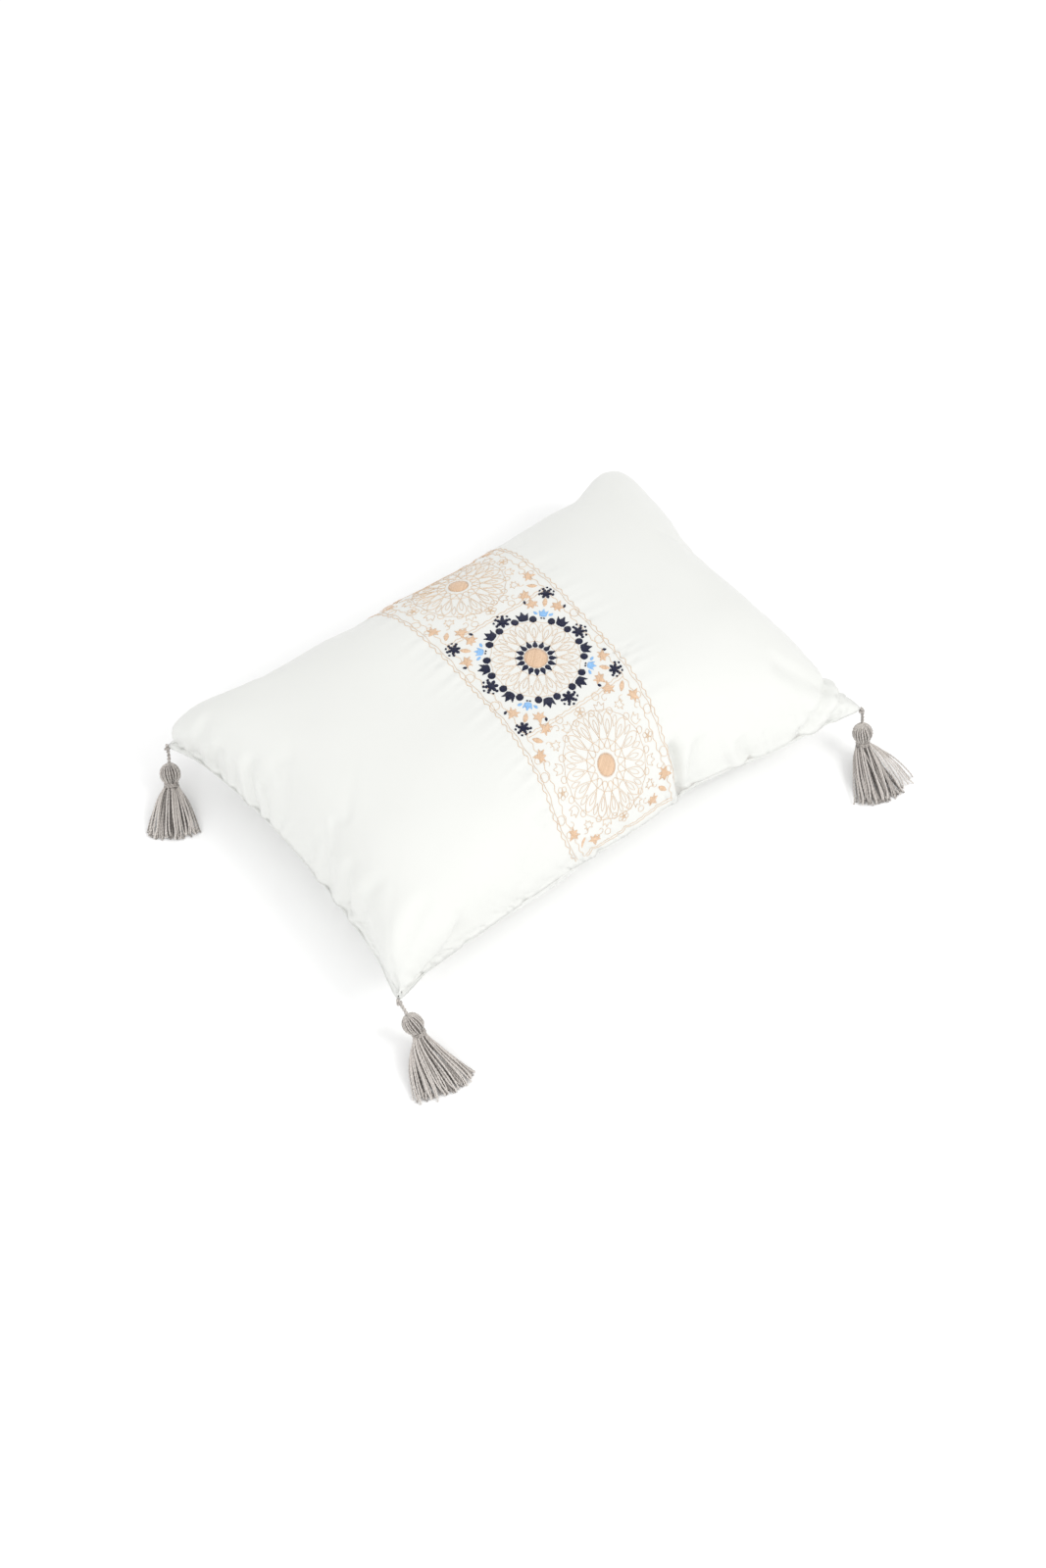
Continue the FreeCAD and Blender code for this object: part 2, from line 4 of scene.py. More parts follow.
import bpy
import numpy as np
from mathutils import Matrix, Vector


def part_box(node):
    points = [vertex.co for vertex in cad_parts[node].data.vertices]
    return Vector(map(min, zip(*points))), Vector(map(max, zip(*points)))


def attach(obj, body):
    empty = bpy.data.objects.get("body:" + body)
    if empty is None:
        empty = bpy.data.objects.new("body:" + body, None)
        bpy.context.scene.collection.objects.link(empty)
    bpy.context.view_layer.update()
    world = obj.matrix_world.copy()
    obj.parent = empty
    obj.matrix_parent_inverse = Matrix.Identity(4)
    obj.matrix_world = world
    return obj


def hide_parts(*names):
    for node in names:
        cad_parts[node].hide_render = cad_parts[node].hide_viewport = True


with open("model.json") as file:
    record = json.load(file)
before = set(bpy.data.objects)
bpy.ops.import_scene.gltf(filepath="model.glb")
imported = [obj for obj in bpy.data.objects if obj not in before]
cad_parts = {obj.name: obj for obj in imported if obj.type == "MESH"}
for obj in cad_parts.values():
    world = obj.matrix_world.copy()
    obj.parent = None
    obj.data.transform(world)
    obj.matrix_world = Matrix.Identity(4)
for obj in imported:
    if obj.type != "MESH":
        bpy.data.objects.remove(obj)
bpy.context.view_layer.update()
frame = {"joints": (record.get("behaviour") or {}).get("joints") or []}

joints = {joint["name"]: joint for joint in frame["joints"]}
mm = 0.001
print("stage: frame loaded")


# camera, lights and floor

stageSettings = {
    "azimuth": -37.3,          # degrees, round the pillow
    "elevation": 51.0,
    "distance": 2.5,           # metres from what it looks at
    "lookAt": (-0.033, -0.055, 0.05),
    "fieldAcross": 20.0,       # degrees across the frame's width
    "floorSize": 12.0,
    "floorDrop": 0.0003,       # floor below the pillow's lowest point
    "skyStrength": 1.0,
    "lightAim": (0, 0, 0.05),
}
lightSettings = (
    # name, place in metres, side of its square, watts, colour
    ("keyLight", (0.7, -1.7, 1.9), 0.9, 18, (1.0, 0.995, 0.98)),
    ("fillLight", (-2.1, -0.9, 1.4), 1.6, 11, (0.98, 0.99, 1.0)),
)


def makeCamera(settings):
    azimuth, elevation = (math.radians(settings[k]) for k in ("azimuth", "elevation"))
    back = Vector((math.sin(azimuth) * math.cos(elevation),
                   -math.cos(azimuth) * math.cos(elevation), math.sin(elevation)))
    data = bpy.data.cameras.new("camera")
    data.sensor_fit = "HORIZONTAL"
    data.angle = math.radians(settings["fieldAcross"])
    data.clip_end = 20
    camera = bpy.data.objects.new("camera", data)
    camera.location = Vector(settings["lookAt"]) + back * settings["distance"]
    camera.rotation_euler = back.to_track_quat("Z", "Y").to_euler()
    bpy.context.scene.collection.objects.link(camera)
    bpy.context.scene.camera = camera


def makeLight(name, place, aim, size, power, colour):
    data = bpy.data.lights.new(name, "AREA")
    data.shape = "SQUARE"
    data.size, data.energy, data.color = size, power, colour
    light = bpy.data.objects.new(name, data)
    light.location = place
    light.rotation_euler = (Vector(place) - Vector(aim)).to_track_quat("Z", "Y").to_euler()
    bpy.context.scene.collection.objects.link(light)


makeCamera(stageSettings)
for name, place, side, power, colour in lightSettings:
    makeLight(name, place, stageSettings["lightAim"], side, power, colour)
world = bpy.data.worlds.new("studio")
world.use_nodes = True
world.node_tree.nodes["Background"].inputs["Color"].default_value = (1, 1, 1, 1)
world.node_tree.nodes["Background"].inputs["Strength"].default_value = stageSettings["skyStrength"]
bpy.context.scene.world = world
bpy.context.scene.view_settings.view_transform = "Standard"

bpy.ops.mesh.primitive_plane_add(size=stageSettings["floorSize"],
                                 location=(0, 0, -stageSettings["floorDrop"]))
floor = bpy.context.object
floor.name = "floor"
print("stage: camera, lights and floor")


# finishes: a socket that takes part in plain arithmetic, and one way to make any node

class Wire:
    def __init__(self, tree, socket=None):
        self.tree, self.socket = tree, socket

    def make(self, kind, settings, inputs, output=0):
        node = self.tree.nodes.new(kind)
        for key, value in settings.items():
            if key == "stops":
                for place, colour in value:
                    node.color_ramp.elements.new(place).color = colour
                node.color_ramp.elements.remove(node.color_ramp.elements[0])
                node.color_ramp.elements.remove(node.color_ramp.elements[-1])
            else:
                setattr(node, key, value)
        for key, value in inputs.items():
            if isinstance(value, Wire):
                self.tree.links.new(value.socket, node.inputs[key])
            else:
                node.inputs[key].default_value = value
        return Wire(self.tree, node.outputs[output])

    def output(self, index):
        return Wire(self.tree, self.socket.node.outputs[index])

    def math(self, operation, first, second=0.0):
        return self.make("ShaderNodeMath", {"operation": operation}, {0: first, 1: second})

    def __add__(self, other):
        return self.math("ADD", self, other)

    def __radd__(self, other):
        return self.math("ADD", other, self)

    def __sub__(self, other):
        return self.math("SUBTRACT", self, other)

    def __rsub__(self, other):
        return self.math("SUBTRACT", other, self)

    def __mul__(self, other):
        return self.math("MULTIPLY", self, other)

    def __rmul__(self, other):
        return self.math("MULTIPLY", other, self)

    def __truediv__(self, other):
        return self.math("DIVIDE", self, other)

    def __pow__(self, other):
        return self.math("POWER", self, other)

    def sine(self):
        return self.math("SINE", self)

    def noise(self, where, scale, detail=2.0):
        return self.make("ShaderNodeTexNoise", {}, {"Vector": where, "Scale": scale,
                                                    "Detail": detail}, "Fac")

    def mix(self, share, first, second):
        return self.make("ShaderNodeMix", {"data_type": "RGBA"},
                         {0: share, 6: first, 7: second}, 2)

    def bump(self, height, strength, distance):
        return self.make("ShaderNodeBump", {}, {"Height": height, "Strength": strength,
                                                "Distance": distance})


def rgb(red, green, blue):
    return (red, green, blue, 1.0)


def newFinish(name, sockets):
    material = bpy.data.materials.new(name)
    material.use_nodes = True
    shader = material.node_tree.nodes["Principled BSDF"]
    for key, value in sockets.items():
        shader.inputs[key].default_value = value

    def feed(socketName, wire):
        material.node_tree.links.new(wire.socket, shader.inputs[socketName])
    return material, Wire(material.node_tree), feed


def clothFinish(name, light, shade, weavePitch, weaveDepth, sheen, rough):
    # plain woven cloth: two thread directions, soft mottling and a brushed sheen
    material, start, feed = newFinish(name, {"Roughness": rough, "Sheen Weight": sheen,
                                             "Sheen Roughness": 0.4,
                                             "Specular IOR Level": 0.3})
    where = start.make("ShaderNodeUVMap", {"uv_map": "panel"}, {})
    parts = start.make("ShaderNodeSeparateXYZ", {}, {0: where})
    along = parts.output(0)
    across = parts.output(1)
    turns = 2 * math.pi / weavePitch
    weave = (along * turns).sine() * (across * turns).sine()
    slub = start.noise(where, 900, 2.0)
    cloudy = start.noise(where, 14, 3.0)
    feed("Base Color", start.mix(cloudy * 0.7 + slub * 0.3, rgb(*light), rgb(*shade)))
    feed("Roughness", cloudy * 0.1 + (rough - 0.05))
    feed("Normal", start.bump(weave * 0.5 + slub * 0.8, 0.5, weaveDepth))
    return material


def threadFinish(name, light, shade, rough, sheen):
    # lustrous thread: each strand has its own tint, with fine ply marks along it
    material, start, feed = newFinish(name, {"Roughness": rough, "Sheen Weight": sheen,
                                             "Specular IOR Level": 0.2})
    tint = start.make("ShaderNodeAttribute", {"attribute_name": "tint"}, {}, "Fac")
    where = start.make("ShaderNodeTexCoord", {}, {}, "Object")
    fibre = start.noise(where, 2600, 2.0)
    soft = start.noise(where, 260, 2.0)
    feed("Base Color", start.mix(tint * 0.6 + fibre * 0.15 + soft * 0.25, rgb(*light),
                                 rgb(*shade)))
    feed("Roughness", fibre * 0.2 + (rough - 0.1))
    feed("Normal", start.bump(fibre, 0.4, 0.0001))
    return material


def tapeFinish(name, light, shade):
    # knitted zip tape: ribs along it and rows across, on a piece without panel places
    material, start, feed = newFinish(name, {"Roughness": 0.7, "Sheen Weight": 0.2})
    where = start.make("ShaderNodeTexCoord", {}, {}, "Object")
    parts = start.make("ShaderNodeSeparateXYZ", {}, {0: where})
    ribs = (parts.output(2) * (2 * math.pi / 0.0009)).sine()
    rows = (parts.output(0) * (2 * math.pi / 0.0007)).sine()
    slub = start.noise(where, 1200, 2.0)
    feed("Base Color", start.mix(rows * 0.2 + slub * 0.6 + 0.1, rgb(*light), rgb(*shade)))
    feed("Roughness", slub * 0.15 + 0.62)
    feed("Normal", start.bump(ribs * 0.5 + rows * 0.5 + slub * 0.4, 0.6, 0.00012))
    return material


def metalFinish(name, light, shade, rough):
    material, start, feed = newFinish(name, {"Metallic": 1.0, "Roughness": rough})
    where = start.make("ShaderNodeTexCoord", {}, {}, "Object")
    brushed = start.noise(where, 1500, 3.0)
    worn = start.noise(where, 180, 4.0)
    feed("Base Color", start.mix(worn, rgb(*light), rgb(*shade)))
    feed("Roughness", brushed * 0.15 + worn * 0.12 + (rough - 0.1))
    feed("Normal", start.bump(brushed, 0.15, 0.00005))
    return material


finishes = {
    "coverCloth": clothFinish("coverCloth", (0.737, 0.742, 0.718), (0.708, 0.716, 0.69),
                              0.0006, 0.00008, 0.35, 0.55),
    "casingCloth": clothFinish("casingCloth", (0.78, 0.77, 0.74), (0.70, 0.69, 0.66),
                               0.0009, 0.0001, 0.1, 0.85),
    "fillFibre": clothFinish("fillFibre", (0.88, 0.88, 0.87), (0.74, 0.74, 0.73),
                             0.004, 0.0008, 0.6, 0.95),
    "tapeWeave": tapeFinish("tapeWeave", (0.84, 0.84, 0.82), (0.70, 0.70, 0.68)),
    "peachThread": threadFinish("peachThread", (0.80, 0.585, 0.415), (0.58, 0.39, 0.25),
                                0.38, 0.2),
    "paleThread": threadFinish("paleThread", (0.82, 0.635, 0.46), (0.62, 0.44, 0.29),
                               0.42, 0.2),
    "navyThread": threadFinish("navyThread", (0.007, 0.011, 0.048), (0.002, 0.004, 0.020),
                               0.35, 0.15),
    "blueThread": threadFinish("blueThread", (0.30, 0.54, 0.84), (0.20, 0.42, 0.74),
                               0.38, 0.2),
    "whiteThread": threadFinish("whiteThread", (0.84, 0.84, 0.82), (0.74, 0.74, 0.71),
                                0.5, 0.2),
    # tassel yarn: the light end is the yarn's own colour; the near-black dark end is painted shade,
    # laid by the tints below into the skirt's lower strands, the head's core and the binding
    "tasselYarn": threadFinish("tasselYarn", (0.80, 0.75, 0.705), (0.095, 0.078, 0.068),
                               0.75, 0.4),
    "coilPlastic": threadFinish("coilPlastic", (0.80, 0.80, 0.78), (0.70, 0.70, 0.68),
                                0.35, 0.0),
    "zipMetal": metalFinish("zipMetal", (0.72, 0.71, 0.69), (0.58, 0.57, 0.55), 0.3),
}


def floorFinish():
    material, start, feed = newFinish("floorPaint", {"Roughness": 0.9,
                                                     "Specular IOR Level": 0.1})
    where = start.make("ShaderNodeTexCoord", {}, {}, "Object")
    feed("Base Color", start.mix(start.noise(where, 3, 2.0), rgb(0.97, 0.97, 0.97),
                                 rgb(0.96, 0.96, 0.96)))
    return material


floor.data.materials.append(floorFinish())
print("stage: finishes")


# the pillow's form: two cut panels, sewn, filled and laid on the floor

pillow = {
    "flatLength": 0.544,       # each panel across its middle, metres
    "flatWidth": 0.382,
    "fineLong": 220,           # cells of the finished panels
    "fineShort": 154,
    "simLong": 110,            # cells while the cloth is simulated
    "simShort": 77,
    "seamLevel": 0.062,        # along the far side, where the zip is
    "seamNear": 0.0545,
    "top": 0.1438,
    "pullLeft": 0.0171,
    "pullRight": 0.0107,
    "pullNear": 0.0160,
    "pullFar": 0.0196,
    "roundLong": 5.85,
    "roundShort": 3.4,
    "fullness": 0.492,
    "underFullness": 0.88,     # the underside tucks in below the seam
    "cornerFullness": {"left": 0.15, "near": 0.20, "right": -0.12, "far": 0.16},
    "cornerLean": 0.060,
    "tipRound": 0.0008,        # how far the sewn corners are rounded off
    "bandPinch": 0.0105,       # the near side draws in beside the band
    "bandPinchAt": 0.374,
    "bandPinchSpread": 0.2,
    "restSoftness": 0.012,     # how gently the underside meets the floor
    "clothThickness": 0.0008,
}
cornerSides = {"left": (-1, 1), "near": (-1, -1), "right": (1, -1), "far": (1, 1)}
zipper = {
    "straightShare": 0.74,     # share of the far side that the zip holds straight
    "closedShare": 0.9,        # the cover's lips have met again by here
    "lipGap": 0.007,
    "tabDent": 0.0022,         # the back panel gives way under the pull tab
    "tabDentAt": 0.017,
    "tabDentSpan": 0.013,
    "lipSpan": 0.012,          # how far in from the seam the lips part
    "coilRadius": 0.0009,
    "coilWire": 0.00026,
    "coilPitch": 0.0016,
}


def smooth(x):
    x = np.clip(x, 0, 1)
    return x * x * (3 - 2 * x)


def tipOf(name):
    return np.array(joints[f"tassel_{name}_lift"]["pos_m"])


def fromCorner(p, x, y, sideX, sideY):
    # distance on the flat panel to one of its corners
    return np.hypot(p["flatLength"] / 2 - sideX * x, p["flatWidth"] / 2 - sideY * y)


def nearCorner(u, v, name):
    sideX, sideY = cornerSides[name]
    return smooth(((sideX * u + sideY * v) / 2 - 0.55) / 0.4)


def formPoint(u, v, front, p):
    heights = {name: tipOf(name)[2] for name in cornerSides}
    near = heights["near"] + (heights["right"] - heights["near"]) * (1 + u) / 2
    far = heights["left"] + (heights["far"] - heights["left"]) * (1 + u) / 2
    level = p["seamLevel"] + (p["seamNear"] - p["seamLevel"]) * (1 - v) / 2
    seam = level + (near + (far - near) * (1 + v) / 2 - level) * u * u * v * v
    tipX, tipY = abs(tipOf("far")[0]) - 0.6 * mm, abs(tipOf("far")[1]) - 0.6 * mm
    x = u * (tipX - (1 - v * v) * np.where(u < 0, p["pullLeft"], p["pullRight"]))
    blunt = p["tipRound"] * smooth(((np.abs(u) + np.abs(v)) / 2 - 0.972) / 0.028)
    x = x - np.sign(u) * blunt
    held = smooth((np.abs(u) - zipper["straightShare"] + 0.1) / (1.1 - zipper["straightShare"]))
    drawnIn = np.where(v < 0, p["pullNear"] * (1 - u * u), p["pullFar"] * (1 - held))
    pinch = p["bandPinch"] * np.exp(-((u - p["bandPinchAt"]) / p["bandPinchSpread"]) ** 2)
    y = v * (tipY - drawnIn) - np.sign(v) * blunt * 0.8 + pinch * (1 - u * u) * smooth(-2 * v - 0.6)
    base = np.maximum((1 - np.abs(u) ** p["roundLong"]) * (1 - np.abs(v) ** p["roundShort"]), 0)
    rise = p["top"] - p["seamLevel"]
    if front:
        power = p["fullness"]
        for name, extra in p["cornerFullness"].items():
            power = power - extra * nearCorner(u, v, name)
        body = base ** power
        for name in ("left", "far"):
            lean = (nearCorner(u, v, name) * body * p["cornerFullness"][name]
                    * p["cornerLean"])
            x = x + cornerSides[name][0] * lean
            y = y + cornerSides[name][1] * lean
        return np.stack([x, y, seam + rise * body], -1)
    body = base ** p["underFullness"]
    low = seam - rise * body
    low = 0.5 * (low + np.sqrt(low * low + p["restSoftness"] ** 2)) - mm
    z = np.where(body > 0, low, seam)
    return np.stack([x, y, seam + (z - seam) * smooth(body * 6)], -1)


def evenGrid(front, p, cellsLong, cellsShort):
    # spread the grid so that its cells keep the size they were cut to
    u, v = np.meshgrid(np.linspace(-1, 1, cellsLong + 1), np.linspace(-1, 1, cellsShort + 1),
                       indexing="ij")
    u, v = u.copy(), v.copy()
    for _ in range(7):
        for axis, coords in ((0, u), (1, v)):
            points = formPoint(u, v, front, p)
            step = np.linalg.norm(np.diff(points, axis=axis), axis=-1)
            total = np.concatenate([np.zeros_like(step.take([0], axis)), step.cumsum(axis)], axis)
            total = total / total.take([-1], axis)
            wanted = np.linspace(0, 1, coords.shape[axis])
            moved = coords.copy()
            for k in range(coords.shape[1 - axis]):
                line = (slice(None), k) if axis == 0 else (k, slice(None))
                moved[line] = np.interp(wanted, total[line], coords[line])
            coords += 0.7 * (moved - coords)
    return formPoint(u, v, front, p)


def borderOf(grid):
    border = np.zeros(grid.shape[:2], bool)
    border[[0, -1], :] = True
    border[:, [0, -1]] = True
    return border


def pairOfGrids(p, cellsLong, cellsShort):
    front = evenGrid(True, p, cellsLong, cellsShort)
    back = evenGrid(False, p, cellsLong, cellsShort)
    border = borderOf(front)
    back[border] = front[border]
    return front, back


def newPiece(name, verts, faces, finishNames, faceSlots=None, panelPlaces=None, tints=None):
    mesh = bpy.data.meshes.new(name)
    mesh.from_pydata(np.asarray(verts).tolist(), [], faces)
    for finishName in finishNames:
        mesh.materials.append(finishes[finishName])
    mesh.polygons.foreach_set("use_smooth", [True] * len(mesh.polygons))
    if faceSlots is not None:
        mesh.polygons.foreach_set("material_index", faceSlots)
    if panelPlaces is not None:
        layer = mesh.uv_layers.new(name="panel")
        corners = np.zeros(len(mesh.loops), int)
        mesh.loops.foreach_get("vertex_index", corners)
        layer.data.foreach_set("uv", np.asarray(panelPlaces)[corners].ravel())
    if tints is not None:
        layer = mesh.attributes.new("tint", "FLOAT", "POINT")
        layer.data.foreach_set("value", np.asarray(tints, float))
    mesh.update()
    piece = bpy.data.objects.new(name, mesh)
    bpy.context.scene.collection.objects.link(piece)
    return piece


def gridFaces(ids, flip=False):
    quads = np.stack([ids[:-1, :-1], ids[1:, :-1], ids[1:, 1:], ids[:-1, 1:]], -1).reshape(-1, 4)
    return (quads[:, ::-1] if flip else quads).tolist()


def sewnGrids(front, back):
    # the two grids share their border vertices, which are the seam
    n, m = front.shape[:2]
    inner = ~borderOf(front)
    frontIds = np.arange(n * m).reshape(n, m)
    backIds = frontIds.copy()
    backIds[inner] = n * m + np.arange(inner.sum())
    verts = np.concatenate([front.reshape(-1, 3), back[inner]])
    return verts, frontIds, backIds


def simulatePillow(p, front, back):
    verts, frontIds, backIds = sewnGrids(front, back)
    piece = newPiece("pillowCloth", verts, gridFaces(frontIds) + gridFaces(backIds, True), [])
    n, m = front.shape[:2]
    across, along = np.meshgrid(np.linspace(-0.5, 0.5, m) * cloth["cutWidth"],
                                np.linspace(-0.5, 0.5, n) * cloth["cutLength"])
    flat = np.zeros((len(verts), 3))
    for ids in (frontIds, backIds):
        flat[ids.ravel()] = np.stack([along, across, np.full((n, m), p["seamLevel"])],
                                     -1).reshape(-1, 3)
    piece.shape_key_add(name="Basis")
    cut = piece.shape_key_add(name="cut")
    cut.data.foreach_set("co", flat.ravel())
    pins = piece.vertex_groups.new(name="tips")
    pins.add([int(frontIds[i, j]) for i in (0, -1) for j in (0, -1)], 1.0, "REPLACE")
    modifier = piece.modifiers.new("cloth", "CLOTH")
    modifier.collision_settings.use_collision = False
    settings = modifier.settings
    settings.rest_shape_key = cut
    settings.quality = cloth["quality"]
    settings.mass = cloth["mass"]
    settings.tension_stiffness = settings.compression_stiffness = cloth["stretch"]
    settings.shear_stiffness = cloth["shear"]
    settings.bending_stiffness = cloth["bending"]
    settings.tension_damping = settings.compression_damping = cloth["damping"]
    settings.air_damping = cloth["airDamping"]
    settings.vertex_group_mass = "tips"
    settings.use_pressure = True
    settings.uniform_pressure_force = cloth["pressure"]
    settings.effector_weights.gravity = 0
    modifier.point_cache.frame_start, modifier.point_cache.frame_end = 1, cloth["frames"]
    scene = bpy.context.scene
    for number in range(1, cloth["frames"] + 1):
        scene.frame_set(number)
    settled = piece.evaluated_get(bpy.context.evaluated_depsgraph_get())
    places = np.zeros(len(verts) * 3)
    settled.data.vertices.foreach_get("co", places)
    places = places.reshape(-1, 3)
    scene.frame_set(1)
    bpy.data.objects.remove(piece)
    return places[frontIds], places[backIds]


cloth = {
    "cutLength": 0.545,
    "cutWidth": 0.384,
    "quality": 6,
    "mass": 0.1,
    "stretch": 60.0,
    "shear": 10.0,
    "bending": 0.5,
    "damping": 10.0,
    "airDamping": 3.0,
    "pressure": 3.0,
    "frames": 18,
    "blurRounds": 30,          # the form keeps its large shape, the cloth gives its wrinkles
    "wrinkleShare": 1.0,
    "deepest": 0.006,
}


def blurPair(front, back, rounds):
    # both sides look past the seam into each other
    for _ in range(rounds):
        pair = []
        for own, other in ((front, back), (back, front)):
            wide = np.concatenate([other[1:2], own, other[-2:-1]], 0)
            own = (wide[:-2] + 2 * wide[1:-1] + wide[2:]) / 4
            tall = np.concatenate([other[:, 1:2], own, other[:, -2:-1]], 1)
            pair.append((tall[:, :-2] + 2 * tall[:, 1:-1] + tall[:, 2:]) / 4)
        front, back = pair
        border = borderOf(front)
        middle = (front[border] + back[border]) / 2
        front[border] = middle
        back[border] = middle
    return front, back


def finerGrid(field, cells, axis):
    # cubic interpolation to a finer grid along one axis
    field = np.moveaxis(field, axis, 0)
    last = field.shape[0] - 1
    place = np.linspace(0, last, cells + 1)
    start = np.minimum(place.astype(int), last - 1)
    t = (place - start).reshape((-1,) + (1,) * (field.ndim - 1))
    a, b, c, d = (field[np.clip(start + k, 0, last)] for k in (-1, 0, 1, 2))
    out = b + 0.5 * t * (c - a + t * (2 * a - 5 * b + 4 * c - d + t * (3 * (b - c) + d - a)))
    return np.moveaxis(out, 0, axis)


def wrinklesFromCloth(p):
    front, back = pairOfGrids(p, p["simLong"], p["simShort"])
    softFront, softBack = simulatePillow(p, front, back)
    moved = [softFront - front, softBack - back]
    broad = blurPair(moved[0].copy(), moved[1].copy(), cloth["blurRounds"])
    result = []
    for full, low in zip(moved, broad):
        detail = (full - low) * cloth["wrinkleShare"]
        size = np.linalg.norm(detail, axis=-1, keepdims=True)
        detail = detail * np.minimum(1, cloth["deepest"] / np.maximum(size, 1e-9))
        fine = finerGrid(finerGrid(detail, p["fineLong"], 0), p["fineShort"], 1)
        result.append(fine)
    return result


# folds and puckers that sewing and filling leave, drawn on the flat panels

folds = {
    "broadPitch": 0.085,
    "broadDepth": 0.0018,
    "middlePitch": 0.034,
    "middleDepth": 0.0010,
    "seamPitch": 0.0075,
    "seamDepth": 0.0042,
    "seamReach": 0.020,
    "seamRidge": 0.0012,
    "bandPitch": 0.0080,
    "bandDepth": 0.0026,
    "bandReach": 0.022,
    "cornerDepth": 0.0042,
    "tipSpan": 0.030,          # the sewn tips themselves stay smooth
    "middleCalm": 0.7,         # how far the cloth's own wrinkles are ironed out mid panel
    "cornerReach": 0.050,
}
band = {
    "middleX": 0.0080,         # the embroidered squares on the panel, metres
    "halfWidth": 0.0595,
    "halfSquare": 0.0556,
    "squares": {"near_end": (-0.1205, 1.05), "centre": (-0.0093, 1.0),
                "far_end": (0.0985, 0.98)},      # middle along Y, length to width
}


def wander(seed, x, pitch):
    # a smooth random line between -1 and 1
    knots = np.random.default_rng(seed).uniform(-1, 1, 600)
    place = x / pitch + 300
    start = np.floor(place).astype(int)
    share = smooth(place - start)
    return knots[start] * (1 - share) + knots[start + 1] * share


def clouds(seed, x, y, pitch):
    knots = np.random.default_rng(seed).uniform(-1, 1, (80, 80))
    a, b = x / pitch + 40, y / pitch + 40
    i, j = np.floor(a).astype(int), np.floor(b).astype(int)
    s, t = smooth(a - i), smooth(b - j)
    return ((knots[i, j] * (1 - s) + knots[i + 1, j] * s) * (1 - t)
            + (knots[i, j + 1] * (1 - s) + knots[i + 1, j + 1] * s) * t)


def crease(x, y, start, end, width, depth, curl=0.0):
    # a soft valley with a low ridge beside it, between two places on the panel
    start, end = np.array(start), np.array(end)
    run = end - start
    length = np.linalg.norm(run)
    run = run / length
    along = ((x - start[0]) * run[0] + (y - start[1]) * run[1]) / length
    beside = (-(x - start[0]) * run[1] + (y - start[1]) * run[0]) - curl * along * (1 - along) * 4
    fade = smooth(along * 4 + 0.6) * smooth((1 - along) * 4 + 0.6)
    valley = np.exp(-(beside / width) ** 2)
    ridge = np.exp(-((beside - 1.9 * width) / (1.2 * width)) ** 2)
    return depth * fade * (0.55 * ridge - valley)


def foldHeight(x, y, p, seed):
    halfLong, halfShort = p["flatLength"] / 2, p["flatWidth"] / 2
    endX, endY = halfLong - np.abs(x), halfShort - np.abs(y)
    inside = smooth(np.minimum(endX, endY) / 0.03)
    height = folds["broadDepth"] * clouds(seed, x, y, folds["broadPitch"]) * inside
    height += folds["middleDepth"] * clouds(seed + 1, x, y, folds["middlePitch"]) * inside
    for index, (distance, along) in enumerate(((endX, y + np.sign(x) * 0.4),
                                               (endY, x + np.sign(y) * 0.6))):
        line = wander(seed + 2 + index, along + 0.25 * distance, folds["seamPitch"])
        strength = 0.35 + 0.65 * np.abs(wander(seed + 5 + index, along, 0.045))
        fade = np.exp(-distance / folds["seamReach"]) * smooth(distance / 0.004)
        height -= folds["seamDepth"] * strength * fade * (1 - np.abs(line)) ** 2
    for sideX, sideY in cornerSides.values():
        away = fromCorner(p, x, y, sideX, sideY)
        turn = np.arctan2(halfShort - sideY * y, halfLong - sideX * x)
        line = wander(seed + 11 + sideX + 3 * sideY, turn, 0.2)
        fade = np.exp(-away / folds["cornerReach"]) * smooth(away / 0.02)
        height -= folds["cornerDepth"] * fade * (1 - np.abs(line)) ** 2
    return height


def bandPuckers(x, y):
    height = np.zeros_like(x)
    for index, side in enumerate((-1, 1)):
        off = side * (x - band["middleX"]) - band["halfWidth"]
        line = wander(31 + index, y + 0.15 * off, folds["bandPitch"])
        strength = 0.3 + 0.7 * np.abs(wander(35 + index, y, 0.03))
        reach = np.where(off > 0, folds["bandReach"], 0.005)
        fade = np.exp(-(off / reach) ** 2)
        height += folds["bandDepth"] * strength * fade * (0.45 - (1 - np.abs(line)) ** 2)
    return height


def frontFolds(x, y, p):
    height = foldHeight(x, y, p, 50) + bandPuckers(x, y)
    for start, end, width, depth, curl in frontCreases:
        height += crease(x, y, start, end, width, depth, curl)
    for sideX, sideY in cornerSides.values():
        away = fromCorner(p, x, y, sideX, sideY)
        height = height * smooth(away / folds["tipSpan"])
    return height


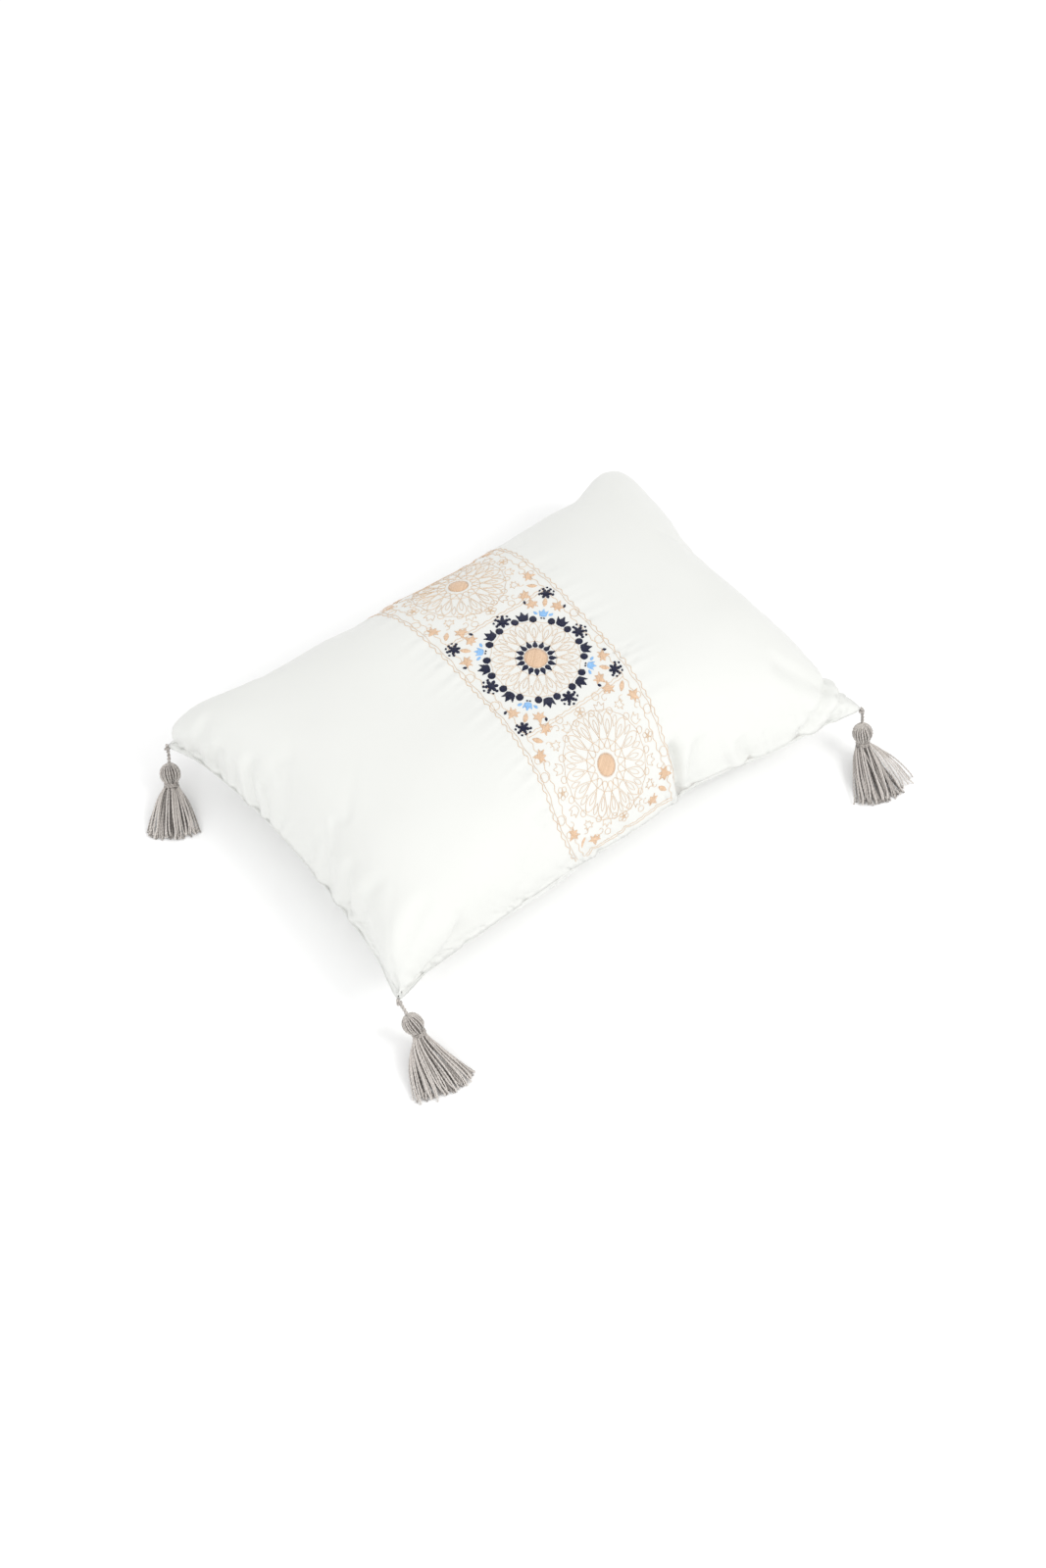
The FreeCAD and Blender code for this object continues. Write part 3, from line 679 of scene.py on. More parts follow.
frontCreases = (
    # from, to, half width, depth, bow: metres on the panel
    ((0.272, -0.124), (0.202, -0.190), 0.0050, 0.0042, 0.005),    # ear fold, right corner
    ((0.272, -0.150), (0.236, -0.189), 0.0036, 0.0018, 0.002),
    ((0.240, -0.158), (0.190, -0.118), 0.0075, 0.0034, 0.004),
    ((-0.270, 0.178), (-0.178, 0.146), 0.0100, 0.0056, 0.008),    # valley, left corner
    ((-0.272, 0.150), (-0.222, 0.118), 0.0055, 0.0022, -0.004),
    ((-0.272, 0.118), (-0.236, 0.096), 0.0047, 0.0030, 0.003),
    ((-0.272, 0.094), (-0.242, 0.082), 0.0038, 0.0018, -0.002),
    ((-0.272, 0.058), (-0.226, 0.064), 0.0051, 0.0029, 0.004),
    ((-0.272, 0.040), (-0.244, 0.050), 0.0038, 0.0020, -0.002),
    ((-0.272, -0.058), (-0.236, -0.036), 0.0051, 0.0027, 0.003),
    ((-0.272, -0.086), (-0.224, -0.064), 0.0051, 0.0025, 0.004),
    ((-0.272, -0.112), (-0.206, -0.090), 0.0064, 0.0020, 0.006),
    ((-0.262, -0.180), (-0.185, -0.125), 0.0070, 0.0026, 0.006),  # creases, near corner
    ((-0.245, -0.188), (-0.168, -0.160), 0.0060, 0.0022, -0.004),
    ((-0.190, -0.191), (-0.160, -0.150), 0.0060, 0.0017, 0.003),
    ((-0.120, -0.191), (-0.108, -0.164), 0.0050, 0.0015, 0.002),
    ((-0.030, -0.191), (-0.034, -0.168), 0.0045, 0.0022, 0.002),
    ((0.072, -0.191), (0.076, -0.140), 0.0060, 0.0085, 0.000),    # pinch beside the band
    ((0.086, -0.190), (0.104, -0.150), 0.0060, 0.0035, 0.003),
    ((0.150, -0.191), (0.140, -0.166), 0.0050, 0.0030, 0.002),
    ((0.272, 0.020), (0.240, 0.026), 0.0060, 0.0024, 0.002),
    ((0.272, -0.070), (0.236, -0.060), 0.0060, 0.0029, 0.002),
)


def normalsOf(grid):
    normals = np.cross(np.gradient(grid, axis=0), np.gradient(grid, axis=1))
    return normals / np.maximum(np.linalg.norm(normals, axis=-1, keepdims=True), 1e-12)


def panelPlaces(p, cellsLong, cellsShort):
    return np.meshgrid(np.linspace(-0.5, 0.5, cellsLong + 1) * p["flatLength"],
                       np.linspace(-0.5, 0.5, cellsShort + 1) * p["flatWidth"], indexing="ij")


def lipOpening(u):
    away = (np.abs(u) - zipper["straightShare"]) / (zipper["closedShare"]
                                                     - zipper["straightShare"])
    return 1 - smooth(away)


def shapePanels(p):
    front, back = pairOfGrids(p, p["fineLong"], p["fineShort"])
    x, y = panelPlaces(p, p["fineLong"], p["fineShort"])
    u = 2 * x / p["flatLength"]
    toZip = np.maximum(p["flatWidth"] / 2 - y, 0)
    calm = 1 - lipOpening(u) * np.exp(-(toZip / 0.02) ** 2)
    edge = np.minimum(p["flatLength"] / 2 - np.abs(x), p["flatWidth"] / 2 - np.abs(y))
    held = calm * (1 - folds["middleCalm"] * smooth((edge - 0.045) / 0.05))
    for sideX, sideY in cornerSides.values():
        away = fromCorner(p, x, y, sideX, sideY)
        held = held * smooth(away / 0.045)
    wrinkles = wrinklesFromCloth(p)
    front = front + wrinkles[0] * held[..., None]
    back = back + wrinkles[1] * held[..., None]
    frontNormals, backNormals = normalsOf(front), -normalsOf(back)
    front = front + frontNormals * (frontFolds(x, y, p) * calm)[..., None]
    back = back + backNormals * (foldHeight(x, y, p, 80) * calm)[..., None]
    outward = frontNormals + backNormals
    outward /= np.maximum(np.linalg.norm(outward, axis=-1, keepdims=True), 1e-9)
    ridge = (folds["seamRidge"] * np.exp(-edge / 0.003) * calm)[..., None] * outward
    lips = 0.5 * zipper["lipGap"] * lipOpening(u) * np.exp(-(toZip / zipper["lipSpan"]) ** 2)
    front, back = front + ridge, back + ridge
    fromTab = (toZip - zipper["tabDentAt"]) / zipper["tabDentSpan"]
    back[..., 1] -= zipper["tabDent"] * lipOpening(u) * np.exp(-fromTab ** 2)
    front[..., 2] += lips
    back[..., 2] -= lips
    back[..., 2] = np.maximum(back[..., 2], 0.0002)
    return front, back


front, back = shapePanels(pillow)
frontNormals, backNormals = normalsOf(front), -normalsOf(back)
print("stage: pillow form", front.reshape(-1, 3).min(0), front.reshape(-1, 3).max(0))


# the cover's two panels, each a thin closed shell of cloth

def clothShell(name, grid, normals, thickness, finish, places, flip):
    n, m = grid.shape[:2]
    outer = np.arange(n * m).reshape(n, m)
    inner = outer + n * m
    faces = gridFaces(outer, flip) + gridFaces(inner, not flip)
    rim = np.concatenate([outer[:, 0], outer[-1, 1:], outer[-2::-1, -1], outer[0, -2:0:-1]])
    for a, b in zip(rim, np.roll(rim, -1)):
        quad = [int(a), int(a) + n * m, int(b) + n * m, int(b)]
        faces.append(quad[::-1] if flip else quad)
    verts = np.concatenate([grid.reshape(-1, 3), (grid - normals * thickness).reshape(-1, 3)])
    places = np.stack(places, -1).reshape(-1, 2)
    return newPiece(name, verts, faces, [finish], panelPlaces=np.concatenate([places, places]))


places = panelPlaces(pillow, pillow["fineLong"], pillow["fineShort"])
coverFront = clothShell("coverFront", front, frontNormals, pillow["clothThickness"],
                        "coverCloth", places, False)
coverBack = clothShell("coverBack", back, backNormals, pillow["clothThickness"],
                       "coverCloth", places, True)
for piece, node in ((coverFront, "cover_front"), (coverBack, "cover_back")):
    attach(piece, "cushion")
    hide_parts(node)
print("stage: cover")


# what the cover holds: a sewn casing and its fibre filling

insert = {
    "cellsLong": 110,
    "cellsShort": 76,
    "casingDepth": 0.0022,     # inside the cover
    "fillDepth": 0.0050,
    "fillLump": 0.0022,
    "tipGap": 0.009,           # the cords are sewn into the cover beyond the insert's corners
    "tipSpan": 0.030,
    "fillPitch": 0.022,
}


def insideGrid(grid, normals, depth):
    stepLong = pillow["fineLong"] // insert["cellsLong"]
    stepShort = pillow["fineShort"] // (insert["cellsShort"] + 1)
    inside = (grid - normals * depth)[::stepLong, ::stepShort].copy()
    inside[..., 2] = np.maximum(inside[..., 2], depth)
    x, y = panelPlaces(pillow, inside.shape[0] - 1, inside.shape[1] - 1)
    for sideX, sideY in cornerSides.values():
        away = fromCorner(pillow, x, y, sideX, sideY)
        inward = insert["tipGap"] * np.exp(-(away / insert["tipSpan"]) ** 2)
        inside[..., 0] -= sideX * inward
        inside[..., 1] -= sideY * inward
    return inside


def closedForm(name, depth, finish, lump):
    pair = [insideGrid(front, frontNormals, depth), insideGrid(back, backNormals, depth)]
    border = borderOf(pair[0])
    middle = (pair[0][border] + pair[1][border]) / 2
    cells = (pair[0].shape[0] - 1, pair[0].shape[1] - 1)
    x, y = panelPlaces(pillow, *cells)
    for index, grid in enumerate(pair):
        lumps = lump * (clouds(90 + index, x, y, insert["fillPitch"]) - 1) / 2
        grid += normalsOf(grid) * ((-1 if index else 1) * lumps)[..., None]
        grid[border] = middle
    verts, frontIds, backIds = sewnGrids(*pair)
    flat = np.stack([x, y], -1).reshape(-1, 2)
    flat = np.concatenate([flat, np.stack([x, y], -1)[~border]])
    faces = gridFaces(frontIds) + gridFaces(backIds, True)
    return newPiece(name, verts, faces, [finish], panelPlaces=flat)


casing = closedForm("insertCasing", insert["casingDepth"], "casingCloth", 0.0)
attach(casing, "cushion")
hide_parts("casing_front", "casing_back")
filling = closedForm("insertFilling", insert["fillDepth"], "fillFibre", insert["fillLump"])
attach(filling, "cushion")
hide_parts("insert_fill")
print("stage: insert")


# strands: closed tubes laid along lines, gathered into one piece

class Strands:
    def __init__(self, sides=4):
        self.sides = sides
        self.verts, self.faces, self.slots, self.tints, self.count = [], [], [], [], 0

    def add(self, line, beside, up, halfWide, halfHigh, slot=0, tint=0.5):
        n, k = len(line), self.sides
        angles = 2 * math.pi * (np.arange(k) + 0.5) / k
        wide = np.broadcast_to(halfWide, (n,))[:, None, None]
        high = np.broadcast_to(halfHigh, (n,))[:, None, None]
        ring = (line[:, None] + wide * np.cos(angles)[None, :, None] * beside[:, None]
                + high * np.sin(angles)[None, :, None] * up[:, None])
        ids = self.count + np.arange(n * k).reshape(n, k)
        after = np.roll(ids, -1, axis=1)
        quads = np.stack([ids[:-1], after[:-1], after[1:], ids[1:]], -1).reshape(-1, 4)
        self.faces += quads.tolist()
        self.faces += [ids[0, ::-1].tolist(), ids[-1].tolist()]
        self.slots += [slot] * (len(quads) + 2)
        self.verts.append(ring.reshape(-1, 3))
        self.tints.append(np.full(n * k, tint))
        self.count += n * k

    def piece(self, name, finishNames):
        return newPiece(name, np.concatenate(self.verts), self.faces, finishNames,
                        self.slots, tints=np.concatenate(self.tints))


def unit(vectors):
    return vectors / np.maximum(np.linalg.norm(vectors, axis=-1, keepdims=True), 1e-12)


def resampled(points, step, closed=False):
    points = np.asarray(points, float)
    if closed:
        points = np.concatenate([points, points[:1]])
    length = np.concatenate([[0], np.linalg.norm(np.diff(points, axis=0), axis=-1).cumsum()])
    count = max(2, int(round(length[-1] / step)) + 1)
    wanted = np.linspace(0, length[-1], count)
    return np.stack([np.interp(wanted, length, points[:, k]) for k in range(points.shape[1])], -1)


def onPanel(flatPoints):
    # places and normals on the finished front panel of points on the flat one
    x, y = flatPoints[..., 0], flatPoints[..., 1]
    a = (x / pillow["flatLength"] + 0.5) * pillow["fineLong"]
    b = (y / pillow["flatWidth"] + 0.5) * pillow["fineShort"]
    a = np.clip(a, 0, pillow["fineLong"] - 1e-6)
    b = np.clip(b, 0, pillow["fineShort"] - 1e-6)
    i, j = a.astype(int), b.astype(int)
    s, t = (a - i)[..., None], (b - j)[..., None]
    out = []
    for grid in (front, frontNormals):
        out.append((grid[i, j] * (1 - s) + grid[i + 1, j] * s) * (1 - t)
                   + (grid[i, j + 1] * (1 - s) + grid[i + 1, j + 1] * s) * t)
    return out[0], unit(out[1])


# embroidery: every line is a run of stitches and every filled shape is laid satin thread

stitching = {
    "lineWidth": 0.42 * mm,
    "lineHeight": 0.34 * mm,
    "stitch": 2.4 * mm,
    "lineStep": 0.6 * mm,
    "satinPitch": 0.46 * mm,
    "satinWidth": 0.62 * mm,
    "satinHeight": 0.34 * mm,
    "satinCrown": 0.45 * mm,
    "satinStep": 1.6 * mm,
    "sunk": 0.10 * mm,         # thread ends go into the cloth
}
threads = ["peachThread", "paleThread", "navyThread", "blueThread"]
peach, pale, navy, blue = range(4)


class Patch:
    # one embroidered square or border; its shapes are drawn in millimetres about its middle
    def __init__(self, middleX, middleY, seed):
        self.middle = np.array([middleX, middleY])
        self.spread = np.array([1.0, 1.0])
        self.strands = Strands()
        self.rng = np.random.default_rng(seed)

    def line(self, points, thread, closed=False, width=1.0):
        flat = resampled(self.middle + np.asarray(points) * self.spread * mm,
                         stitching["lineStep"], closed)
        run = np.arange(len(flat)) * stitching["lineStep"] / stitching["stitch"]
        swell = np.sqrt(np.abs(np.sin(math.pi * (run + self.rng.uniform()))))
        place, normal = onPanel(flat)
        tangent = unit(np.gradient(place, axis=0))
        beside = unit(np.cross(normal, tangent))
        high = stitching["lineHeight"] * (0.45 + 0.55 * swell)
        place = place + normal * (high * 0.5)[:, None]
        wide = stitching["lineWidth"] * width * (0.7 + 0.3 * swell) / 2
        self.strands.add(place, beside, normal, wide * math.sqrt(2) * 0.9, high * 0.75,
                         thread, self.rng.uniform(0.2, 0.9))

    def fill(self, outline, thread, angle, crown=1.0):
        outline = np.asarray(outline, float) * self.spread
        turn = np.array([[math.cos(angle), -math.sin(angle)], [math.sin(angle), math.cos(angle)]])
        turned = outline @ turn
        pitch = stitching["satinPitch"] / mm
        following = np.roll(turned, -1, axis=0)
        spread = max(np.ptp(turned[:, 0]), 1.0)
        for level in np.arange(turned[:, 1].min() + pitch / 2, turned[:, 1].max(), pitch):
            crosses = (turned[:, 1] <= level) != (following[:, 1] <= level)
            a, b = turned[crosses], following[crosses]
            share = (level - a[:, 1]) / (b[:, 1] - a[:, 1])
            ends = np.sort(a[:, 0] + share * (b[:, 0] - a[:, 0]))
            for start, stop in zip(ends[::2], ends[1::2]):
                if stop - start > 0.4:
                    self.satin(start, stop, level, turn, thread, crown, spread)

    def satin(self, start, stop, level, turn, thread, crown, spread):
        start, stop = np.array([start, stop]) + self.rng.uniform(-0.18, 0.18, 2)
        count = max(4, int((stop - start) * mm / stitching["satinStep"]) + 3)
        along = np.linspace(start, stop, count)
        bow = self.rng.uniform(-0.05, 0.05)
        share = np.linspace(0, 1, count)
        local = np.stack([along, level + bow * np.sin(math.pi * share)], -1) @ turn.T
        place, normal = onPanel(self.middle + local * mm)
        tangent = unit(np.gradient(place, axis=0))
        beside = unit(np.cross(normal, tangent))
        arch = np.sin(math.pi * share) ** 0.5
        rise = stitching["satinCrown"] * crown * min(1.0, (stop - start) / spread + 0.3)
        place = place + normal * (rise * arch - stitching["sunk"] * (1 - arch))[:, None]
        self.strands.add(place, beside, normal, stitching["satinWidth"] * 0.7,
                         stitching["satinHeight"] * 0.7, thread, self.rng.uniform(0, 1))


def placed(shape, x, y, angle=0.0, size=1.0):
    shape = np.asarray(shape, float) * size
    c, s = math.cos(angle), math.sin(angle)
    return np.stack([x + shape[:, 0] * c - shape[:, 1] * s,
                     y + shape[:, 0] * s + shape[:, 1] * c], -1)


def around(x, y, radius, count=28, squash=1.0):
    turn = np.linspace(0, 2 * math.pi, count, endpoint=False)
    return np.stack([x + radius * np.cos(turn), y + squash * radius * np.sin(turn)], -1)


def petalShape(length, width, point=1.0):
    # a petal along +X from its root at the origin, round near its tip
    t = np.linspace(0, 1, 14)
    half = width / 2 * np.sin(math.pi * t ** point) ** 0.75
    upper = np.stack([t * length, half], -1)
    return np.concatenate([upper, upper[-2:0:-1] * (1, -1)])


def mirrored(half):
    half = np.array(half, float)
    return np.concatenate([half, half[::-1] * (1, -1)])


leafShape = mirrored([(0, 0.5), (1.9, 1.3), (0.3, 4.3), (3.0, 3.0), (4.7, 5.0), (5.2, 1.9),
                      (9.2, 0.2)])
tulipShape = mirrored([(0, 1.3), (1.0, 3.6), (4.0, 4.2), (7.4, 5.0), (5.3, 2.2), (9.2, 0.3)])
rosette = {
    "petals": 16,
    "endSpread": (1.0, 1.12),
    "disc": 9.6, "endDisc": 7.6,
    "dropRoot": 10.9, "dropLength": 7.4, "dropWidth": 4.7,
    "petalRoot": 18.0, "petalLength": 19.4, "petalWidth": 7.6,
    "innerRoot": 21.0, "innerLength": 11.0, "innerWidth": 3.0,
    "dotRadius": 3.3, "dotRing": 41.0,
    "leafRing": 39.6, "leafSize": 1.12,
    "flowerRing": 46.4, "flowerSize": 1.1,
    "stamens": 7,
    "cornerRing": 68.5,
    "blueRing": 47.6,
    "circleOff": 55.6, "circleAt": 17.5, "circleRadius": 3.9,
}


def dropShape(length, width):
    # broad at the disc, pointed outwards
    half = [(0, 0.22), (0.14, 0.44), (0.36, 0.5), (0.62, 0.3), (1, 0.03)]
    return mirrored([(along * length, beside * width) for along, beside in half])


def smallFlower(patch, x, y, angle, size, thread):
    # a ragged flower: a round middle, small lobes, and loose knots on its outer side
    patch.fill(around(x, y, 3.0 * size), thread, angle, 1.5)
    for k in range(6):
        turn = angle + (k + 0.5) * 2 * math.pi / 6
        patch.fill(placed(petalShape(3.4, 3.0, 0.9), x + 2.0 * size * math.cos(turn),
                          y + 2.0 * size * math.sin(turn), turn, size), thread,
                   turn + math.pi / 2)
    for k in range(rosette["stamens"]):
        turn = angle - 1.7 + 3.4 * k / (rosette["stamens"] - 1)
        reach = (6.0 + 0.8 * (k % 2)) * size
        patch.fill(around(x + reach * math.cos(turn), y + reach * math.sin(turn),
                          (1.15 - 0.2 * (k % 2)) * size, 10), thread, turn)


def heart(patch, thread, dropThread, lineThread):
    # the middle of every square: disc, drops and double-lined petals
    disc = rosette["endDisc" if dropThread is None else "disc"]
    patch.fill(around(0, 0, disc, 40), thread, 0.75, 1.3)
    patch.line(around(0, 0, disc + 0.5, 48), thread, True, 0.9)
    for k in range(rosette["petals"]):
        angle = 2 * math.pi * (k + 0.5) / rosette["petals"]
        c, s = math.cos(angle), math.sin(angle)
        drop = dropShape(rosette["dropLength"], rosette["dropWidth"])
        drop = placed(drop, rosette["dropRoot"] * c, rosette["dropRoot"] * s, angle)
        if dropThread is None:
            patch.line(drop, lineThread, True)
        else:
            patch.fill(drop, dropThread, angle + math.pi / 2)
        for root, length, width, point, weight in (
                (rosette["petalRoot"], rosette["petalLength"], rosette["petalWidth"], 1.5, 0.95),
                (rosette["innerRoot"], rosette["innerLength"], rosette["innerWidth"], 1.1, 0.7)):
            petal = placed(petalShape(length, width, point), root * c, root * s, angle)
            patch.line(petal, lineThread, True, weight)
        between = angle + math.pi / rosette["petals"]
        c, s = math.cos(between), math.sin(between)
        small = placed(petalShape(9.0, 3.2, 1.3), 27.2 * c, 27.2 * s, between)
        patch.line(small, lineThread, False, 0.75)
    for radius, count in ((17.0, 60), (37.6, 96)):
        turn = np.linspace(0, 2 * math.pi, count * 2, endpoint=False)
        wave = radius + 0.9 * np.abs(np.sin(turn * 8))
        patch.line(np.stack([wave * np.cos(turn), wave * np.sin(turn)], -1), lineThread, True,
                   0.7)


def cornerSpray(patch, sideX, sideY, leafThread, withNavy):
    diagonal = math.atan2(sideY, sideX)
    c, s = math.cos(diagonal), math.sin(diagonal)
    if withNavy:
        ring = rosette["blueRing"]
        patch.fill(placed(tulipShape, (ring - 3.5) * c, (ring - 3.5) * s, diagonal, 0.86),
                   blue, diagonal + math.pi / 2, 1.2)
        for off in (-0.11, 0.11):
            turn = diagonal + off
            patch.fill(placed(petalShape(4.4, 2.4), (ring - 1.5) * math.cos(turn),
                              (ring - 1.5) * math.sin(turn), turn + off * 7), blue, turn)
        smallFlower(patch, rosette["cornerRing"] * c, rosette["cornerRing"] * s, diagonal,
                    1.02, navy)
    inner = 53.0 if withNavy else 55.0
    for off in (-0.18, 0.18):
        turn = diagonal + off
        patch.fill(placed(leafShape, inner * math.cos(turn), inner * math.sin(turn),
                          turn + off * 1.2, 1.2), leafThread, turn + math.pi / 2, 1.1)
        if withNavy:
            dot = diagonal + off * 1.65
            patch.fill(placed(petalShape(3.6, 2.6, 0.9), 58.0 * math.cos(dot),
                              58.0 * math.sin(dot), dot), navy, dot + math.pi / 2)
    leaf = petalShape(9.4, 4.2, 1.0)
    reach = inner + (1.5 if withNavy else 3.5)
    patch.fill(placed(leaf, reach * c, reach * s, diagonal), leafThread,
               diagonal + math.pi / 2)


def knotDots(patch, angle, radius, thread):
    for off in (-0.028, 0.028):
        patch.fill(around(radius * math.cos(angle + off), radius * math.sin(angle + off),
                          0.8, 8), thread, angle)


def middleSquare(patch):
    heart(patch, peach, navy, pale)
    for quarter in range(4):
        base = quarter * math.pi / 2
        flower = rosette["flowerRing"]
        smallFlower(patch, flower * math.cos(base), flower * math.sin(base), base,
                    rosette["flowerSize"], navy)
        knotDots(patch, base + math.pi / 4, rosette["dotRing"] + 1.5, navy)
        for degrees in (11.25, 33.75, 56.25, 78.75):
            turn = base + math.radians(degrees)
            spot = around(rosette["dotRing"] * math.cos(turn), rosette["dotRing"] * math.sin(turn),
                          rosette["dotRadius"], 20)
            patch.fill(spot, navy, turn + math.pi / 2, 1.2)
        for degrees in (22.5, 67.5):
            turn = base + math.radians(degrees)
            patch.fill(placed(tulipShape, rosette["leafRing"] * math.cos(turn),
                              rosette["leafRing"] * math.sin(turn), turn,
                              rosette["leafSize"]), navy, turn + math.pi / 2, 1.1)
    for sideX in (-1, 1):
        for sideY in (-1, 1):
            cornerSpray(patch, sideX, sideY, peach, True)
            patch.line(around(sideX * rosette["circleOff"], sideY * rosette["circleAt"],
                              rosette["circleRadius"], 24), pale, True)


def endSquare(patch):
    patch.spread = patch.ground * rosette["endSpread"]
    heart(patch, peach, None, pale)
    patch.spread = patch.ground
    for k in range(rosette["petals"]):
        turn = 2 * math.pi * k / rosette["petals"]
        c, s = math.cos(turn), math.sin(turn)
        if k % 4 == 0:
            for index in range(5):
                spin = turn + index * 2 * math.pi / 5
                patch.line(placed(petalShape(5.2, 4.2, 1.2), 45.6 * c, 45.6 * s, spin), pale,
                           True, 0.8)
            patch.line(around(45.6 * c, 45.6 * s, 1.5, 14), pale, True, 0.8)
        elif k % 2 == 0:
            patch.line(placed(leafShape, 44.0 * c, 44.0 * s, turn, 0.9), pale, True, 0.85)
        else:
            patch.line(placed(tulipShape, 40.4 * c, 40.4 * s, turn, 0.9), pale, True, 0.85)
        between = turn + math.pi / rosette["petals"]
        patch.line(around(40.8 * math.cos(between), 40.8 * math.sin(between), 2.7, 18), pale,
                   True, 0.85)
    for sideX in (-1, 1):
        for sideY in (-1, 1):
            cornerSpray(patch, sideX, sideY, peach, False)
            for across, along, radius in ((55.0, 17.5, 3.7), (19.0, 49.5, 3.0),
                                          (30.0, 48.5, 2.3), (53.5, 31.0, 2.6)):
                patch.line(around(sideX * across, sideY * along, radius, 20), pale, True, 0.85)
    sprigs(patch)


def sprigs(patch):
    # small scrolls that fill the ground between the rosette and the square's sides
    for sideX in (-1, 1):
        for sideY in (-1, 1):
            for x, y, turn in ((38, 36, 0.8), (47.5, 24.5, 0.3), (25.5, 44.5, 1.2)):
                t = np.linspace(0, 1, 16)
                curl = turn + 4.2 * t
                scroll = np.stack([x + 3.4 * (1 - 0.6 * t) * np.cos(curl),
                                   y + 3.4 * (1 - 0.6 * t) * np.sin(curl)], -1)
                patch.line(scroll * (sideX, sideY), pale, False, 0.8)


def wavyLine(start, end, pitch, height, phase=0.0):
    start, end = np.array(start, float), np.array(end, float)
    run = end - start
    length = np.linalg.norm(run)
    t = np.linspace(0, 1, int(length / 1.2) + 2)
    side = np.array([-run[1], run[0]]) / length
    wave = height * np.sin(2 * math.pi * t * length / pitch + phase)
    return start + t[:, None] * run + wave[:, None] * side


def squareRules(patch, ends):
    # double lines that part the squares
    for along in ends:
        for off, height in ((-1.4, 0.25), (1.4, 0.5)):
            patch.line(wavyLine((-50, along + off), (50, along + off), 7.5, height), pale)


patches = []
for index, (name, (middleY, stretch)) in enumerate(band["squares"].items()):
    patch = Patch(band["middleX"], middleY, 41 + index)
    half = band["halfSquare"] / mm
    patch.ground = np.array([1.0, stretch])
    patch.spread = patch.ground
    if name == "centre":
        middleSquare(patch)
        squareRules(patch, (-half - 1.5, half - 1.5))
    else:
        endSquare(patch)
        squareRules(patch, (half + 3.0 if name == "far_end" else -half - 4.0,))
    patches.append((patch, f"embroidery_{name}"))
for name, side, seed in (("left", -1, 44), ("right", 1, 45)):
    patch = Patch(band["middleX"], 0.0, seed)
    low = (band["squares"]["near_end"][0] - band["halfSquare"]) / mm - 7.0
    high = (band["squares"]["far_end"][0] + band["halfSquare"]) / mm + 6.0
    for off, pitch, height, phase, width in ((50.8, 9.3, 0.9, 0.0, 1.0),
                                             (57.8, 18.6, 0.5, 1.5, 0.8),
                                             (60.4, 8.2, 0.9, 1.9, 1.25)):
        patch.line(wavyLine((side * off, low), (side * off, high), pitch, height, phase), pale,
                   width=width)
    patches.append((patch, f"embroidery_border_{name}"))
for patch, node in patches:
    piece = patch.strands.piece(node.replace("_end", "End").replace("_", "") + "Threads", threads)
    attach(piece, "cushion")
    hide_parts(node)
    print("stage:", node, len(piece.data.polygons), "faces")


# the sewn seam: short stitches that lie in the join of the two panels

seam = {
    "stitch": 2.6 * mm,
    "gap": 0.7 * mm,
    "threadRadius": 0.24 * mm,
    "proud": 0.05 * mm,
}


def seamLine():
    # the border from one end of the zip's opening round to the other
    path = np.concatenate([front[:, 0], front[-1, 1:], front[-2::-1, -1], front[0, -2:0:-1]])
    out = np.concatenate([(frontNormals + backNormals)[:, 0], (frontNormals + backNormals)[-1, 1:],
                          (frontNormals + backNormals)[-2::-1, -1],
                          (frontNormals + backNormals)[0, -2:0:-1]])
    return path, unit(out)


def makeSeam():
    path, out = seamLine()
    both = np.concatenate([path, out], -1)
    run = np.concatenate([[0], np.linalg.norm(np.diff(path, axis=0), axis=-1).cumsum()])
    strands = Strands(5)
    rng = np.random.default_rng(61)
    start = 2 * mm
    while start + seam["stitch"] < run[-1]:
        wanted = start + np.linspace(0, 1, 5) * seam["stitch"]
        spot = np.stack([np.interp(wanted, run, both[:, k]) for k in range(6)], -1)
        line, away = spot[:, :3], unit(spot[:, 3:])
        atZip = line[:, 1].mean() > 0.14 and abs(line[:, 0].mean()) < 0.205
        fromTip = min(np.linalg.norm(line[2] - tipOf(name)) for name in cornerSides)
        if not atZip and fromTip > 4.5 * mm:
            tangent = unit(np.gradient(line, axis=0))
            arch = np.sin(math.pi * np.linspace(0, 1, 5))[:, None]
            line = line + away * (seam["proud"] + 0.12 * mm * arch)
            strands.add(line, unit(np.cross(away, tangent)), away, seam["threadRadius"],
                        seam["threadRadius"], 0, rng.uniform())
        start += seam["stitch"] + seam["gap"]
    piece = strands.piece("seamStitches", ["whiteThread"])
    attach(piece, "cushion")
    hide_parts("seam_stitching")


makeSeam()
print("stage: seam")


# the zip: woven tapes, spun coils, then the cast slider, pull and stops from the CAD

